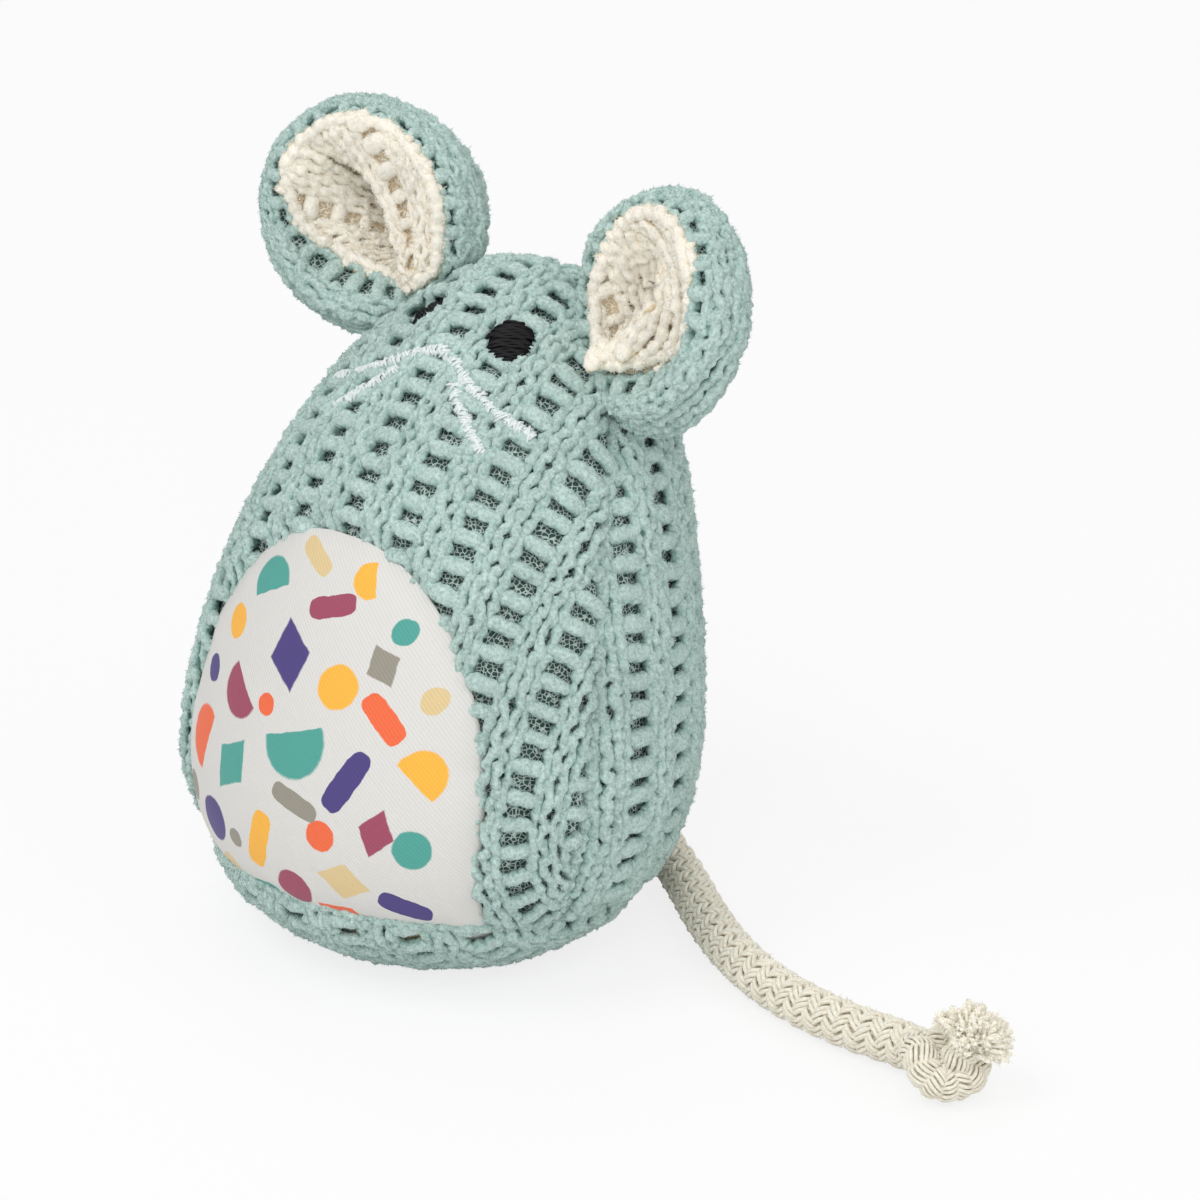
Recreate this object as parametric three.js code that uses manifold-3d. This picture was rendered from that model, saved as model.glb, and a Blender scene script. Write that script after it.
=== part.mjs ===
// Catnip mouse standing on its rump: +Z is up, the belly faces -Y and the left side is +X. Millimetres.
import * as THREE from "three";
import { mergeVertices } from "three/addons/utils/BufferGeometryUtils.js";
import Module from "manifold-3d";

const wasm = await Module();
wasm.setup();

// Body form: an egg of elliptic sections whose centres lean back towards the crown
const bodyHeight = 83;
const bodyHalfWidth = 34;
const bodyHalfDepth = 31;
const widestHeight = 27;
const baseCut = 1.8;
const baseFullness = 2.3;
const shoulderTaper = 0.035;
const crownLean = 19.5;
const leanCurve = 2.2;
const bodySides = 32;
const lowerRows = 5;
const upperRows = 9;

// Layers, from the pile inwards
const fitGap = 0.3;
const knitThickness = 2.4;
const patchRecess = 1;
const netThickness = 0.5;
const turningHoleRadius = 9;

// Open ladders of the front knit: gaps between rungs, in planes that face sideways
const ladderSpread = 35.5;
const ladderAngle = 13.15;
const ladderShift = -0.2;
const sideLadders = 4;
const rungPitch = 3.6;
const gapLength = 1.5;
const gapWidth = 3;
const gapMargin = 1.6;

// Seams: the side seam is drawn in side view as [y, z], the base seam as a tilted plane
const seamLine = [
  [-9, -5],
  [-8.5, 20],
  [-5.5, 34],
  [-0.5, 49],
  [3.5, 58],
  [9.5, 67],
  [14.5, 75],
  [20.5, 81.5],
  [27, 90],
];
const baseSeamHeight = 9.6;
const baseSeamAngle = 4.5;

// Belly patch: sides that draw in below, half an ellipse above
const patchHalfWidth = 24.6;
const patchFootHalfWidth = 22;
const patchShoulder = 25;
const patchRise = 33;

// Face: angles in degrees from the belly's middle line, drops from the crown
const eyeAngle = 32;
const eyeDrop = 4.7;
const eyeHeight = bodyHeight - eyeDrop;
const eyeRadius = 2.9;
const stitchRise = 0.9;
const noseDrop = 6.2;
const noseHeight = bodyHeight - noseDrop;
const noseHalfWidth = 1.7;
const noseHalfHeight = 1;
const whiskerRadius = 0.6;
const upperRootDrop = 0.9;
const upperTipDrop = 7.2;
const lowerRootDrop = 2.4;
const lowerTipDrop = 8.4;
const whiskers = {
  upper: { angles: [11, 50], drops: [upperRootDrop, upperTipDrop] },
  lower: { angles: [9, 34], drops: [lowerRootDrop, lowerTipDrop] },
};

// Ears: a cupped disc on a hinge line at the side seam
const earAngle = 88;
const earHeight = 75.5;
const earRadius = 15.4;
const earReach = 11;
const earRimFront = 5.4;
const earBackDepth = 8;
const earCupDepth = 4.4;
const earLiningShare = 0.72;
const earSeamShare = 0.05;
const earLiningThickness = 1.6;
const earRootThickness = 2.6;
const earTaperLength = 10;
const earSplayAngle = 45;
const earToeAngle = 12;
const earTiltAngle = 17;
const earGap = 0.6;

// Filling
const sachetHalf = [13, 7, 15];
const sachetHeight = 32;

// Tail: a rope that leaves the back and lies on the ground round the left side
const ropeRadius = 3;
const tailRootLength = 11;
const tailExitHeight = 9;
const swingClearance = 0.4;
const tailNear = [
  [5.5, 30.8, 6.8],
  [11.8, 29.9, 4.4],
  [17.6, 27, 3.3],
];
const tailBend = [23.4, 23, 3.15];
const tailFar = [
  [29.6, 18.4, 3.15],
  [37.8, 13.2, 3.15],
  [46, 9.3, 3.15],
  [54, 7, 3.15],
  [62, 6.1, 3.15],
];
const tailEnd = [70.5, 6.2, 3.15];
const ropeSides = 10;
const knotCentre = [78.6, 4.2, 4.5];
const knotHalf = [5.6, 4.6, 4.4];
const knotWrapRadius = 3.6;
const knotTurnAngle = 40;
const tuftLength = 8.6;
const tuftFlare = 4.6;
const tuftDirection = [0.25, 0.7, 0.5];

const colours = {
  knit: "#a9c4bc",
  lining: "#efe6d5",
  patch: "#eceae6",
  net: "#3e5d56",
  black: "#1b1a1c",
  white: "#f4f3f0",
  rope: "#e4dbc8",
  fibre: "#f3f2ee",
  sachet: "#b9b48c",
};
const finishes = {};
for (const [name, colour] of Object.entries(colours)) {
  finishes[name] = new THREE.MeshStandardMaterial({ name, color: colour, roughness: 0.9 });
}

const radians = THREE.MathUtils.degToRad;

function solidOf(geometry) {
  const bare = new THREE.BufferGeometry();
  bare.setAttribute("position", geometry.getAttribute("position"));
  bare.setIndex(geometry.getIndex());
  const welded = mergeVertices(bare, 1e-4);
  const index = welded.getIndex().array;
  const triangles = [];
  for (let i = 0; i < index.length; i += 3) {
    const [a, b, c] = [index[i], index[i + 1], index[i + 2]];
    if (a !== b && b !== c && c !== a) {
      triangles.push(a, b, c);
    }
  }
  const mesh = new wasm.Mesh({
    numProp: 3,
    vertProperties: new Float32Array(welded.getAttribute("position").array),
    triVerts: new Uint32Array(triangles),
  });
  return new wasm.Manifold(mesh);
}

function meshOf(name, solid, finish) {
  const data = solid.getMesh();
  const indexed = new THREE.BufferGeometry();
  indexed.setAttribute("position", new THREE.BufferAttribute(data.vertProperties, 3));
  indexed.setIndex(new THREE.BufferAttribute(data.triVerts, 1));
  const geometry = indexed.toNonIndexed();
  geometry.computeVertexNormals();
  const mesh = new THREE.Mesh(geometry, finishes[finish]);
  mesh.name = name;
  return mesh;
}

// Share of the full width at a height
function sectionShare(z) {
  if (z > widestHeight) {
    const rise = Math.min(1, (z - widestHeight) / (bodyHeight - widestHeight));
    return Math.sqrt(1 - rise * rise) - shoulderTaper * Math.sin(Math.PI * rise);
  }
  const drop = (widestHeight - z) / (widestHeight + baseCut);
  return (1 - drop ** baseFullness) ** (1 / baseFullness);
}

function centreY(z) {
  return crownLean * (Math.max(0, z) / bodyHeight) ** leanCurve;
}

function skinPoint(angle, z) {
  const share = sectionShare(z);
  const x = bodyHalfWidth * share * Math.sin(radians(angle));
  const y = centreY(z) - bodyHalfDepth * share * Math.cos(radians(angle));
  return new THREE.Vector3(x, y, z);
}

function skinNormal(angle, z) {
  const around = skinPoint(angle + 0.5, z).sub(skinPoint(angle - 0.5, z));
  const upward = skinPoint(angle, z + 0.2).sub(skinPoint(angle, z - 0.2));
  return around.cross(upward).normalize();
}

// The whole egg, set in by a layer depth on every side, or out where the depth is negative
function bodyForm(inset) {
  const heights = [];
  for (let i = 0; i < lowerRows; i += 1) {
    heights.push(widestHeight * (1 - Math.cos((Math.PI / 2) * (i / lowerRows))));
  }
  for (let i = 0; i < upperRows; i += 1) {
    const rise = Math.sin((Math.PI / 2) * (i / upperRows));
    heights.push(widestHeight + (bodyHeight - widestHeight) * rise);
  }
  const profile = [new THREE.Vector2(0, 0)];
  for (const z of heights) {
    profile.push(new THREE.Vector2(sectionShare(z), z));
  }
  profile.push(new THREE.Vector2(0, bodyHeight));
  const geometry = new THREE.LatheGeometry(profile, bodySides);
  const position = geometry.getAttribute("position");
  for (let i = 0; i < position.count; i += 1) {
    const z = inset + (position.getY(i) * (bodyHeight - 2 * inset)) / bodyHeight;
    const x = position.getX(i) * (bodyHalfWidth - inset);
    const y = centreY(z) - position.getZ(i) * (bodyHalfDepth - inset);
    position.setXYZ(i, x, y, z);
  }
  return solidOf(geometry);
}

function layer(outer, inner) {
  return bodyForm(outer).subtract(bodyForm(inner));
}

// Large cutters
const reach = 2 * bodyHeight;

function sideSeamCutter(shift) {
  const line = seamLine.map(([y, z]) => new THREE.Vector2(y + shift, z));
  const shape = new THREE.Shape();
  shape.moveTo(line[0].x, line[0].y);
  shape.splineThru(line.slice(1));
  shape.lineTo(-reach, line.at(-1).y);
  shape.lineTo(-reach, line[0].y);
  const geometry = new THREE.ExtrudeGeometry(shape, {
    depth: reach,
    bevelEnabled: false,
    curveSegments: 24,
  });
  const [x, y, z] = [[0, 1, 0], [0, 0, 1], [1, 0, 0]].map((v) => new THREE.Vector3(...v));
  geometry.applyMatrix4(new THREE.Matrix4().makeBasis(x, y, z));
  geometry.translate(-reach / 2, 0, 0);
  return solidOf(geometry);
}

function underSeamCutter(rise) {
  const geometry = new THREE.BoxGeometry(reach, reach, reach);
  geometry.translate(0, 0, rise - reach / 2);
  geometry.rotateX(-radians(baseSeamAngle));
  geometry.translate(0, 0, baseSeamHeight);
  return solidOf(geometry);
}

function archCutter(grow) {
  const shape = new THREE.Shape();
  const half = patchHalfWidth + grow;
  const foot = patchFootHalfWidth + grow;
  shape.moveTo(foot, 0);
  shape.lineTo(half, patchShoulder);
  shape.absellipse(0, patchShoulder, half, patchRise + grow, 0, Math.PI, false, 0);
  shape.lineTo(-foot, 0);
  const geometry = new THREE.ExtrudeGeometry(shape, {
    depth: reach,
    bevelEnabled: false,
    curveSegments: 28,
  });
  geometry.rotateX(Math.PI / 2);
  return solidOf(geometry);
}

function sideCutter(side) {
  const geometry = new THREE.BoxGeometry(reach, reach, reach);
  geometry.translate((side * (reach + fitGap)) / 2, 0, bodyHeight / 2);
  return solidOf(geometry);
}

function tube(points, radius, sides, spanSteps = 3) {
  const path = new THREE.CatmullRomCurve3(points);
  const shape = new THREE.Shape();
  for (let i = 0; i < sides; i += 1) {
    const angle = (2 * Math.PI * i) / sides;
    const corner = [radius * Math.cos(angle), radius * Math.sin(angle)];
    if (i === 0) {
      shape.moveTo(...corner);
    } else {
      shape.lineTo(...corner);
    }
  }
  const geometry = new THREE.ExtrudeGeometry(shape, {
    steps: spanSteps * (points.length - 1),
    extrudePath: path,
    bevelEnabled: false,
  });
  return solidOf(geometry);
}

function ball(centre, radius) {
  const geometry = new THREE.SphereGeometry(radius, 12, 8);
  geometry.translate(centre.x, centre.y, centre.z);
  return solidOf(geometry);
}

// Tail line: the rope pivots on a ball just off the back, and again where it settles on the ground
const exitPoint = skinPoint(180, tailExitHeight);
const swingPoint = exitPoint.clone().add(new THREE.Vector3(0, ropeRadius + swingClearance, 0));
const bendPoint = new THREE.Vector3(...tailBend);
const nearLine = tailNear.map((p) => new THREE.Vector3(...p));
const bendStep = bendPoint.clone().sub(nearLine.at(-1)).setLength(ropeRadius + fitGap);
const nearEnd = bendPoint.clone().sub(bendStep);
const farLine = [...tailFar, tailEnd].map((p) => new THREE.Vector3(...p));
const rootStart = exitPoint.clone().add(new THREE.Vector3(0, -tailRootLength, 0));
const rootEnd = swingPoint.clone().add(new THREE.Vector3(0, -ropeRadius - fitGap, 0));
const rootHole = tube([rootStart.clone().setY(rootStart.y - fitGap), swingPoint], ropeRadius + fitGap, ropeSides);

// Whether a place on the skin is in the front panel, clear of its seams and of the eyes
const eyeSpots = [1, -1].map((side) => skinPoint(side * eyeAngle, eyeHeight));

function insideFront(point) {
  const { x, y, z } = point;
  const next = seamLine.findIndex(([, height]) => height > z);
  const [[lowY, lowZ], [highY, highZ]] = seamLine.slice(next - 1, next + 1);
  const seamY = THREE.MathUtils.mapLinear(z, lowZ, highZ, lowY, highY);
  const aboveBase = z - baseSeamHeight + Math.tan(radians(baseSeamAngle)) * y;
  const across = x / (patchHalfWidth + gapMargin);
  const upward = Math.max(0, z - patchShoulder) / (patchRise + gapMargin);
  const besidePatch = y > 0 || Math.hypot(across, upward) > 1;
  const clearOfEyes = eyeSpots.every((spot) => spot.distanceTo(point) > eyeRadius + gapMargin);
  return besidePatch && clearOfEyes && y < seamY - gapMargin && aboveBase > gapMargin;
}

// One ladder, walked from the widest level: up over the crown, then down to the base seam
function ladderGaps(step) {
  const plane = ladderSpread * Math.sin(radians(ladderAngle * step)) + ladderShift;
  let top = bodyHeight;
  while (bodyHalfWidth * sectionShare(top) < Math.abs(plane) + fitGap) {
    top -= fitGap;
  }
  const gaps = [];
  for (const [way, end] of [[1, 1.6], [-1, 0.7]]) {
    let walked = 0;
    let last = null;
    for (let t = 0; t < end; t += 0.004) {
      const rise = way > 0 ? (top - widestHeight) * Math.sin((Math.PI / 2) * t) : -widestHeight * t;
      const z = widestHeight + rise;
      const share = plane / (bodyHalfWidth * sectionShare(z));
      if (Math.abs(share) > 1) {
        break;
      }
      const lean = Math.asin(share) / radians(1);
      const angle = t > 1 ? 180 - lean : lean;
      const place = skinPoint(angle, z);
      const row = Math.round(walked / rungPitch);
      walked += last ? place.distanceTo(last) : 0;
      last = place;
      if (Math.round(walked / rungPitch) === row) {
        continue;
      }
      const outward = skinNormal(angle, z);
      const along = new THREE.Vector3(0, outward.z, -outward.y).normalize();
      const across = along.clone().cross(outward);
      const ends = [-1, 1].map((side) => place.clone().addScaledVector(across, (side * gapWidth) / 2));
      if (ends.every(insideFront)) {
        const geometry = new THREE.BoxGeometry(gapWidth, gapLength, 4 * knitThickness);
        geometry.applyMatrix4(new THREE.Matrix4().makeBasis(across, along, outward).setPosition(place));
        gaps.push(solidOf(geometry));
      }
    }
  }
  return gaps;
}

const frontGaps = [];
for (let step = -sideLadders; step <= sideLadders; step += 1) {
  frontGaps.push(...ladderGaps(step));
}
console.log(`front knit has ${frontGaps.length} ladder gaps`);

// Knit skin and what it covers
const skin = layer(0, knitThickness).subtract(rootHole);
const upperSkin = skin.subtract(underSeamCutter(fitGap / 2));
const baseSkin = skin.intersect(underSeamCutter(-fitGap / 2));
const frontSkin = upperSkin
  .intersect(sideSeamCutter(-fitGap / 2))
  .subtract(archCutter(0))
  .subtract(wasm.Manifold.union(frontGaps));
const backSkin = upperSkin.subtract(sideSeamCutter(fitGap / 2));
const patch = layer(patchRecess, knitThickness)
  .intersect(archCutter(-fitGap))
  .subtract(underSeamCutter(fitGap / 2));

const netOuter = knitThickness + fitGap;
const netInner = netOuter + netThickness;
const holeGeometry = new THREE.CylinderGeometry(turningHoleRadius, turningHoleRadius, 2 * widestHeight, 24);
holeGeometry.rotateX(Math.PI / 2);
const turningHole = solidOf(holeGeometry).intersect(underSeamCutter(0));
const net = layer(netOuter, netInner).subtract(turningHole).subtract(rootHole);

function sachetForm(grow) {
  const geometry = new THREE.SphereGeometry(1, 14, 8);
  geometry.scale(...sachetHalf.map((half) => half + grow));
  geometry.translate(0, centreY(sachetHeight), sachetHeight);
  return solidOf(geometry);
}
const filling = bodyForm(netInner + fitGap).subtract(sachetForm(fitGap)).subtract(rootHole);
const halfGeometry = new THREE.BoxGeometry(reach, reach, reach);
halfGeometry.translate(0, -reach / 2 - fitGap / 2 + centreY(sachetHeight), bodyHeight / 2);
const frontHalf = solidOf(halfGeometry);
const backHalf = solidOf(halfGeometry.clone().translate(0, reach + fitGap, 0));

const torso = new THREE.Group();
torso.name = "torso";
torso.add(
  meshOf("front_panel", frontSkin, "knit"),
  meshOf("back_left_panel", backSkin.intersect(sideCutter(1)), "knit"),
  meshOf("back_right_panel", backSkin.intersect(sideCutter(-1)), "knit"),
  meshOf("base_panel", baseSkin, "knit"),
  meshOf("belly_patch", patch, "patch"),
  meshOf("net_lining", net, "net"),
  meshOf("stuffing_front", filling.intersect(frontHalf), "fibre"),
  meshOf("stuffing_back", filling.intersect(backHalf), "fibre"),
  meshOf("catnip_sachet", sachetForm(0), "sachet"),
);

// Stitched face: flat pads and cords that lie on the pile
const stitchLayer = layer(-fitGap - stitchRise, -fitGap);

function stitchPad(angle, z, halfWidth, halfHeight) {
  const shape = new THREE.Shape().absellipse(0, 0, halfWidth, halfHeight, 0, 2 * Math.PI, false, 0);
  const geometry = new THREE.ExtrudeGeometry(shape, {
    depth: 4 * eyeRadius,
    bevelEnabled: false,
    curveSegments: 10,
  });
  geometry.translate(0, 0, -eyeRadius);
  const outward = skinNormal(angle, z);
  const across = new THREE.Vector3(0, 0, 1).cross(outward).normalize();
  const turn = new THREE.Matrix4().makeBasis(across, outward.clone().cross(across), outward);
  geometry.applyMatrix4(turn.setPosition(skinPoint(angle, z)));
  return stitchLayer.intersect(solidOf(geometry));
}

function whisker(side, { angles, drops }) {
  const points = [];
  for (let i = 0; i <= 4; i += 1) {
    const angle = side * THREE.MathUtils.lerp(...angles, i / 4);
    const z = noseHeight - THREE.MathUtils.lerp(...drops, i / 4);
    const lift = skinNormal(angle, z).multiplyScalar(whiskerRadius + fitGap);
    points.push(skinPoint(angle, z).add(lift));
  }
  return tube(points, whiskerRadius, 8, 2);
}

for (const [name, side] of [["left", 1], ["right", -1]]) {
  torso.add(
    meshOf(`eye_${name}`, stitchPad(side * eyeAngle, eyeHeight, eyeRadius, eyeRadius), "black"),
    meshOf(`whisker_${name}_upper`, whisker(side, whiskers.upper), "white"),
    meshOf(`whisker_${name}_lower`, whisker(side, whiskers.lower), "white"),
  );
}
torso.add(meshOf("nose_stitch", stitchPad(0, noseHeight, noseHalfWidth, noseHalfHeight), "white"));

// Ears: lathed cups, thinned towards the hinge line and cut back from the head
function earCup(profile, side, gap) {
  const geometry = new THREE.LatheGeometry(profile, 22);
  geometry.rotateX(Math.PI / 2);
  const position = geometry.getAttribute("position");
  for (let i = 0; i < position.count; i += 1) {
    const along = position.getY(i) + earReach;
    const open = THREE.MathUtils.smoothstep(along, 0, earTaperLength);
    const thin = THREE.MathUtils.lerp(earRootThickness / (earRimFront + earBackDepth), 1, open);
    position.setXYZ(i, position.getX(i), along, position.getZ(i) * thin);
  }
  const facing = new THREE.Vector3(
    -side * Math.sin(radians(earToeAngle)) * Math.cos(radians(earTiltAngle)),
    -Math.cos(radians(earToeAngle)) * Math.cos(radians(earTiltAngle)),
    Math.sin(radians(earTiltAngle)),
  );
  const upward = new THREE.Vector3(side * Math.sin(radians(earSplayAngle)), 0, Math.cos(radians(earSplayAngle)));
  upward.addScaledVector(facing, -upward.dot(facing)).normalize();
  const turn = new THREE.Matrix4().makeBasis(upward.clone().cross(facing), upward, facing);
  geometry.applyMatrix4(turn.setPosition(skinPoint(side * earAngle, earHeight)));
  return solidOf(geometry).subtract(bodyForm(-gap));
}

function cupLine(rows) {
  const line = new THREE.SplineCurve(rows.map(([share, depth]) => new THREE.Vector2(share * earRadius, depth)));
  return line.getPoints(2 * (rows.length - 1));
}

const liningEdge = earLiningShare;
const cupFront = [
  [0, -earCupDepth],
  [0.4 * liningEdge, -0.85 * earCupDepth],
  [0.8 * liningEdge, -0.3 * earCupDepth],
  [liningEdge, 0.3 * earRimFront],
];
const cupBack = [
  [0, -earBackDepth],
  [0.45, -0.93 * earBackDepth],
  [0.8, -0.6 * earBackDepth],
  [0.97, -0.1 * earBackDepth],
  [0.97, 0.5 * earRimFront],
  [0.88, earRimFront],
  [liningEdge + earSeamShare, 0.8 * earRimFront],
];
const outerProfile = [...cupLine(cupBack), ...cupLine(cupFront).reverse()];
const liningBack = cupFront.map(([share, depth]) => [share * 0.97, depth + fitGap]);
const liningFront = cupFront.map(([share, depth]) => [share * 0.93, depth + fitGap + earLiningThickness]);
const liningProfile = [...cupLine(liningBack), ...cupLine(liningFront).reverse()];

const group = new THREE.Group();
group.name = "catnip_mouse";
group.add(torso);
for (const [name, side] of [["left", 1], ["right", -1]]) {
  const ear = new THREE.Group();
  ear.name = `ear_${name}`;
  ear.add(
    meshOf(`ear_${name}_outer`, earCup(outerProfile, side, earGap), "knit"),
    meshOf(`ear_${name}_lining`, earCup(liningProfile, side, earGap), "lining"),
  );
  group.add(ear);
}

// Tail: two stretches of rope with ball ends, an overhand knot and the frayed end
function knotForm(grow) {
  const core = new THREE.SphereGeometry(1, 18, 12);
  core.scale(...knotHalf.map((half) => half + grow));
  const wrap = new THREE.TorusGeometry(knotWrapRadius, 0.75 * ropeRadius + grow, 10, 20);
  wrap.rotateX(radians(knotTurnAngle));
  const solid = solidOf(core).add(solidOf(wrap));
  return solid.translate(knotCentre);
}

function tuftForm() {
  const profile = [
    [0, 0],
    [0.7 * ropeRadius, 0],
    [0.9 * ropeRadius, 0.4 * tuftLength],
    [tuftFlare, 0.9 * tuftLength],
    [0.85 * tuftFlare, tuftLength],
    [0, tuftLength],
  ];
  const geometry = new THREE.LatheGeometry(profile.map((p) => new THREE.Vector2(...p)), 16);
  const along = new THREE.Vector3(...tuftDirection).normalize();
  geometry.applyQuaternion(new THREE.Quaternion().setFromUnitVectors(new THREE.Vector3(0, 1, 0), along));
  geometry.translate(...knotCentre);
  return solidOf(geometry).subtract(knotForm(fitGap));
}

const root = tube([rootStart, rootEnd], ropeRadius, ropeSides, 1);
const near = tube([swingPoint, ...nearLine, nearEnd], ropeRadius, ropeSides).add(ball(swingPoint, ropeRadius));
const far = tube([bendPoint, ...farLine, new THREE.Vector3(...knotCentre)], ropeRadius, ropeSides)
  .add(ball(bendPoint, ropeRadius))
  .subtract(knotForm(fitGap));
torso.add(meshOf("tail_root", root, "rope"));
const tail = new THREE.Group();
tail.name = "tail";
tail.add(
  meshOf("tail_rope_near", near, "rope"),
  meshOf("tail_rope_far", far, "rope"),
  meshOf("tail_knot", knotForm(0), "rope"),
  meshOf("tail_tuft", tuftForm(), "rope"),
);
group.add(tail);

export default group;
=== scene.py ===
from itertools import product

import bpy
import numpy as np
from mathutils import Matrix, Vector


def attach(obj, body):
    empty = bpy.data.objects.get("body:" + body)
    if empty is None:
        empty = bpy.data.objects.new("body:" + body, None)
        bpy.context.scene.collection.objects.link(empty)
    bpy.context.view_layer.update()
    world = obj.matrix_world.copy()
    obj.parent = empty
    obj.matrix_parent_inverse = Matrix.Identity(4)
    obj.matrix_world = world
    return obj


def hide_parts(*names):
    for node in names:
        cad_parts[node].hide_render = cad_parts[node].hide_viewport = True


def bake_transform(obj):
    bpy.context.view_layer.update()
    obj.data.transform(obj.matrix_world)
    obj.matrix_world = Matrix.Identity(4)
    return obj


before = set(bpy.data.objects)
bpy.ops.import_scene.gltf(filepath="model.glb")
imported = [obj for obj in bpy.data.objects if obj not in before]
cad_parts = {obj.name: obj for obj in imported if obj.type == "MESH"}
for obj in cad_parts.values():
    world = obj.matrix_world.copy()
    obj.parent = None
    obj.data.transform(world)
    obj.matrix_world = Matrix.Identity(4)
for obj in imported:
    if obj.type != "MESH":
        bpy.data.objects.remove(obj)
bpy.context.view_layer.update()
mm = 0.001  # shapes are worked out in millimetres and stored in metres
print("frame loaded")


# General helpers

def hexColour(code):
    parts = [int(code[i:i + 2], 16) / 255 for i in (1, 3, 5)]
    linear = [c / 12.92 if c <= 0.04045 else ((c + 0.055) / 1.055) ** 2.4 for c in parts]
    return (*linear, 1.0)


def smooth(value):
    value = np.clip(value, 0, 1)
    return value * value * (3 - 2 * value)


def unit(vectors):
    return vectors / np.maximum(np.linalg.norm(vectors, axis=-1, keepdims=True), 1e-9)


def lumps(points, cell, seed=0):  # smooth lattice noise from -1 to 1
    grid = np.asarray(points) / cell
    low = np.floor(grid).astype(np.int64)
    part = grid - low
    part = part * part * (3 - 2 * part)
    total = np.zeros(len(grid))
    for corner in product((0, 1), repeat=3):
        x, y, z = (low + np.array(corner)).T
        key = (x * 73856093) ^ (y * 19349663) ^ (z * 83492791) ^ (seed * 2654435761)  # spatial hash
        key = (key ^ (key >> 13)) * 1274126177 & 0x7FFFFFFF
        key = key ^ (key >> 15)
        share = np.prod(np.where(corner, part, 1 - part), axis=1)
        total += share * ((key & 0xFFFF) / 32767.5 - 1)
    return total


def draws(count, seed):  # repeatable spread of numbers from -1 to 1
    return np.random.default_rng(seed).uniform(-1, 1, count)


def walkAlong(line):  # distance from the start to each point of a line
    return np.concatenate([[0], np.cumsum(np.linalg.norm(np.diff(line, axis=0), axis=1))])


def resample(line, spacing, *others, count=0):
    along = walkAlong(line)
    count = count or max(4, int(round(along[-1] / spacing)) + 1)
    at = np.linspace(0, along[-1], count)
    rows = [line, *others]
    return [np.column_stack([np.interp(at, along, row[:, i]) for i in range(row.shape[1])]) for row in rows]


def splineThrough(points, count):  # one smooth curve through given points
    points = np.array(points, float)
    ahead = np.vstack([2 * points[0] - points[1], points, 2 * points[-1] - points[-2]])
    rows = []
    for i in range(len(points) - 1):
        a, b, c, d = ahead[i:i + 4]
        t = np.linspace(0, 1, count, endpoint=False)[:, None]
        rows.append(0.5 * (2 * b + (c - a) * t + (2 * a - 5 * b + 4 * c - d) * t ** 2
                           + (3 * b - a - 3 * c + d) * t ** 3))
    return np.vstack([*rows, points[-1:]])


def newStore():
    lists = {key: [] for key in ("points", "quads", "tris", "shadeAndTone", "roots", "aims", "shades")}
    return {"count": 0, **lists}


def tangents(line):
    return unit(np.gradient(line, axis=0))


def addTube(store, line, out, wide, high, sides, shadeAndTone=0.0, lumpSize=0.0, lumpCell=1.0, seed=0):
    count = len(line)
    along = tangents(line)
    out = unit(out - along * np.sum(out * along, axis=1, keepdims=True))
    across = np.cross(along, out)
    turn = 2 * np.pi * np.arange(sides) / sides
    wide, high = (np.broadcast_to(size, count)[:, None, None] for size in (wide, high))
    spoke = across[:, None] * np.cos(turn)[None, :, None] * wide
    spoke = spoke + out[:, None] * np.sin(turn)[None, :, None] * high
    ring = (line[:, None] + spoke).reshape(-1, 3)
    # painted light and shade: each tube is lighter on its outward side and darker on its underside
    shade = np.tile(np.sin(turn), count)
    if lumpSize:
        bump = lumps(ring, lumpCell, seed) + 0.5 * lumps(ring, lumpCell * 0.48, seed + 7)
        ring = ring + unit(spoke).reshape(-1, 3) * (bump * lumpSize)[:, None]
        # painted light on the lumps, painted shade in the pits between them
        shade = shade + 0.7 * bump
    store["roots"].append(ring)
    store["aims"].append(unit(spoke).reshape(-1, 3))
    store["shades"].append(shade + shadeAndTone)
    first = store["count"]
    row = np.arange(sides)
    nextRow = (row + 1) % sides
    base = first + sides * np.arange(count - 1)[:, None]
    quads = np.stack([base + row, base + sides + row, base + sides + nextRow, base + nextRow], axis=-1)
    last = first + sides * (count - 1)
    tips = first + sides * count
    startCap = np.column_stack([np.full(sides, tips), first + row, first + nextRow])
    endCap = np.column_stack([np.full(sides, tips + 1), last + nextRow, last + row])
    store["points"].append(np.vstack([ring, line[:1], line[-1:]]))
    store["quads"].append(quads.reshape(-1, 4))
    store["tris"].append(np.vstack([startCap, endCap]))
    store["shadeAndTone"].append(np.concatenate([shade + shadeAndTone, [shadeAndTone, shadeAndTone]]))
    store["count"] += sides * count + 2


fibre = {"halfWidth": 0.075, "stray": 0.14, "sunk": 0.12, "splay": 0.8, "shade": 0.4, "footShade": -0.2,
         "tipLight": 0.35}


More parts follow.
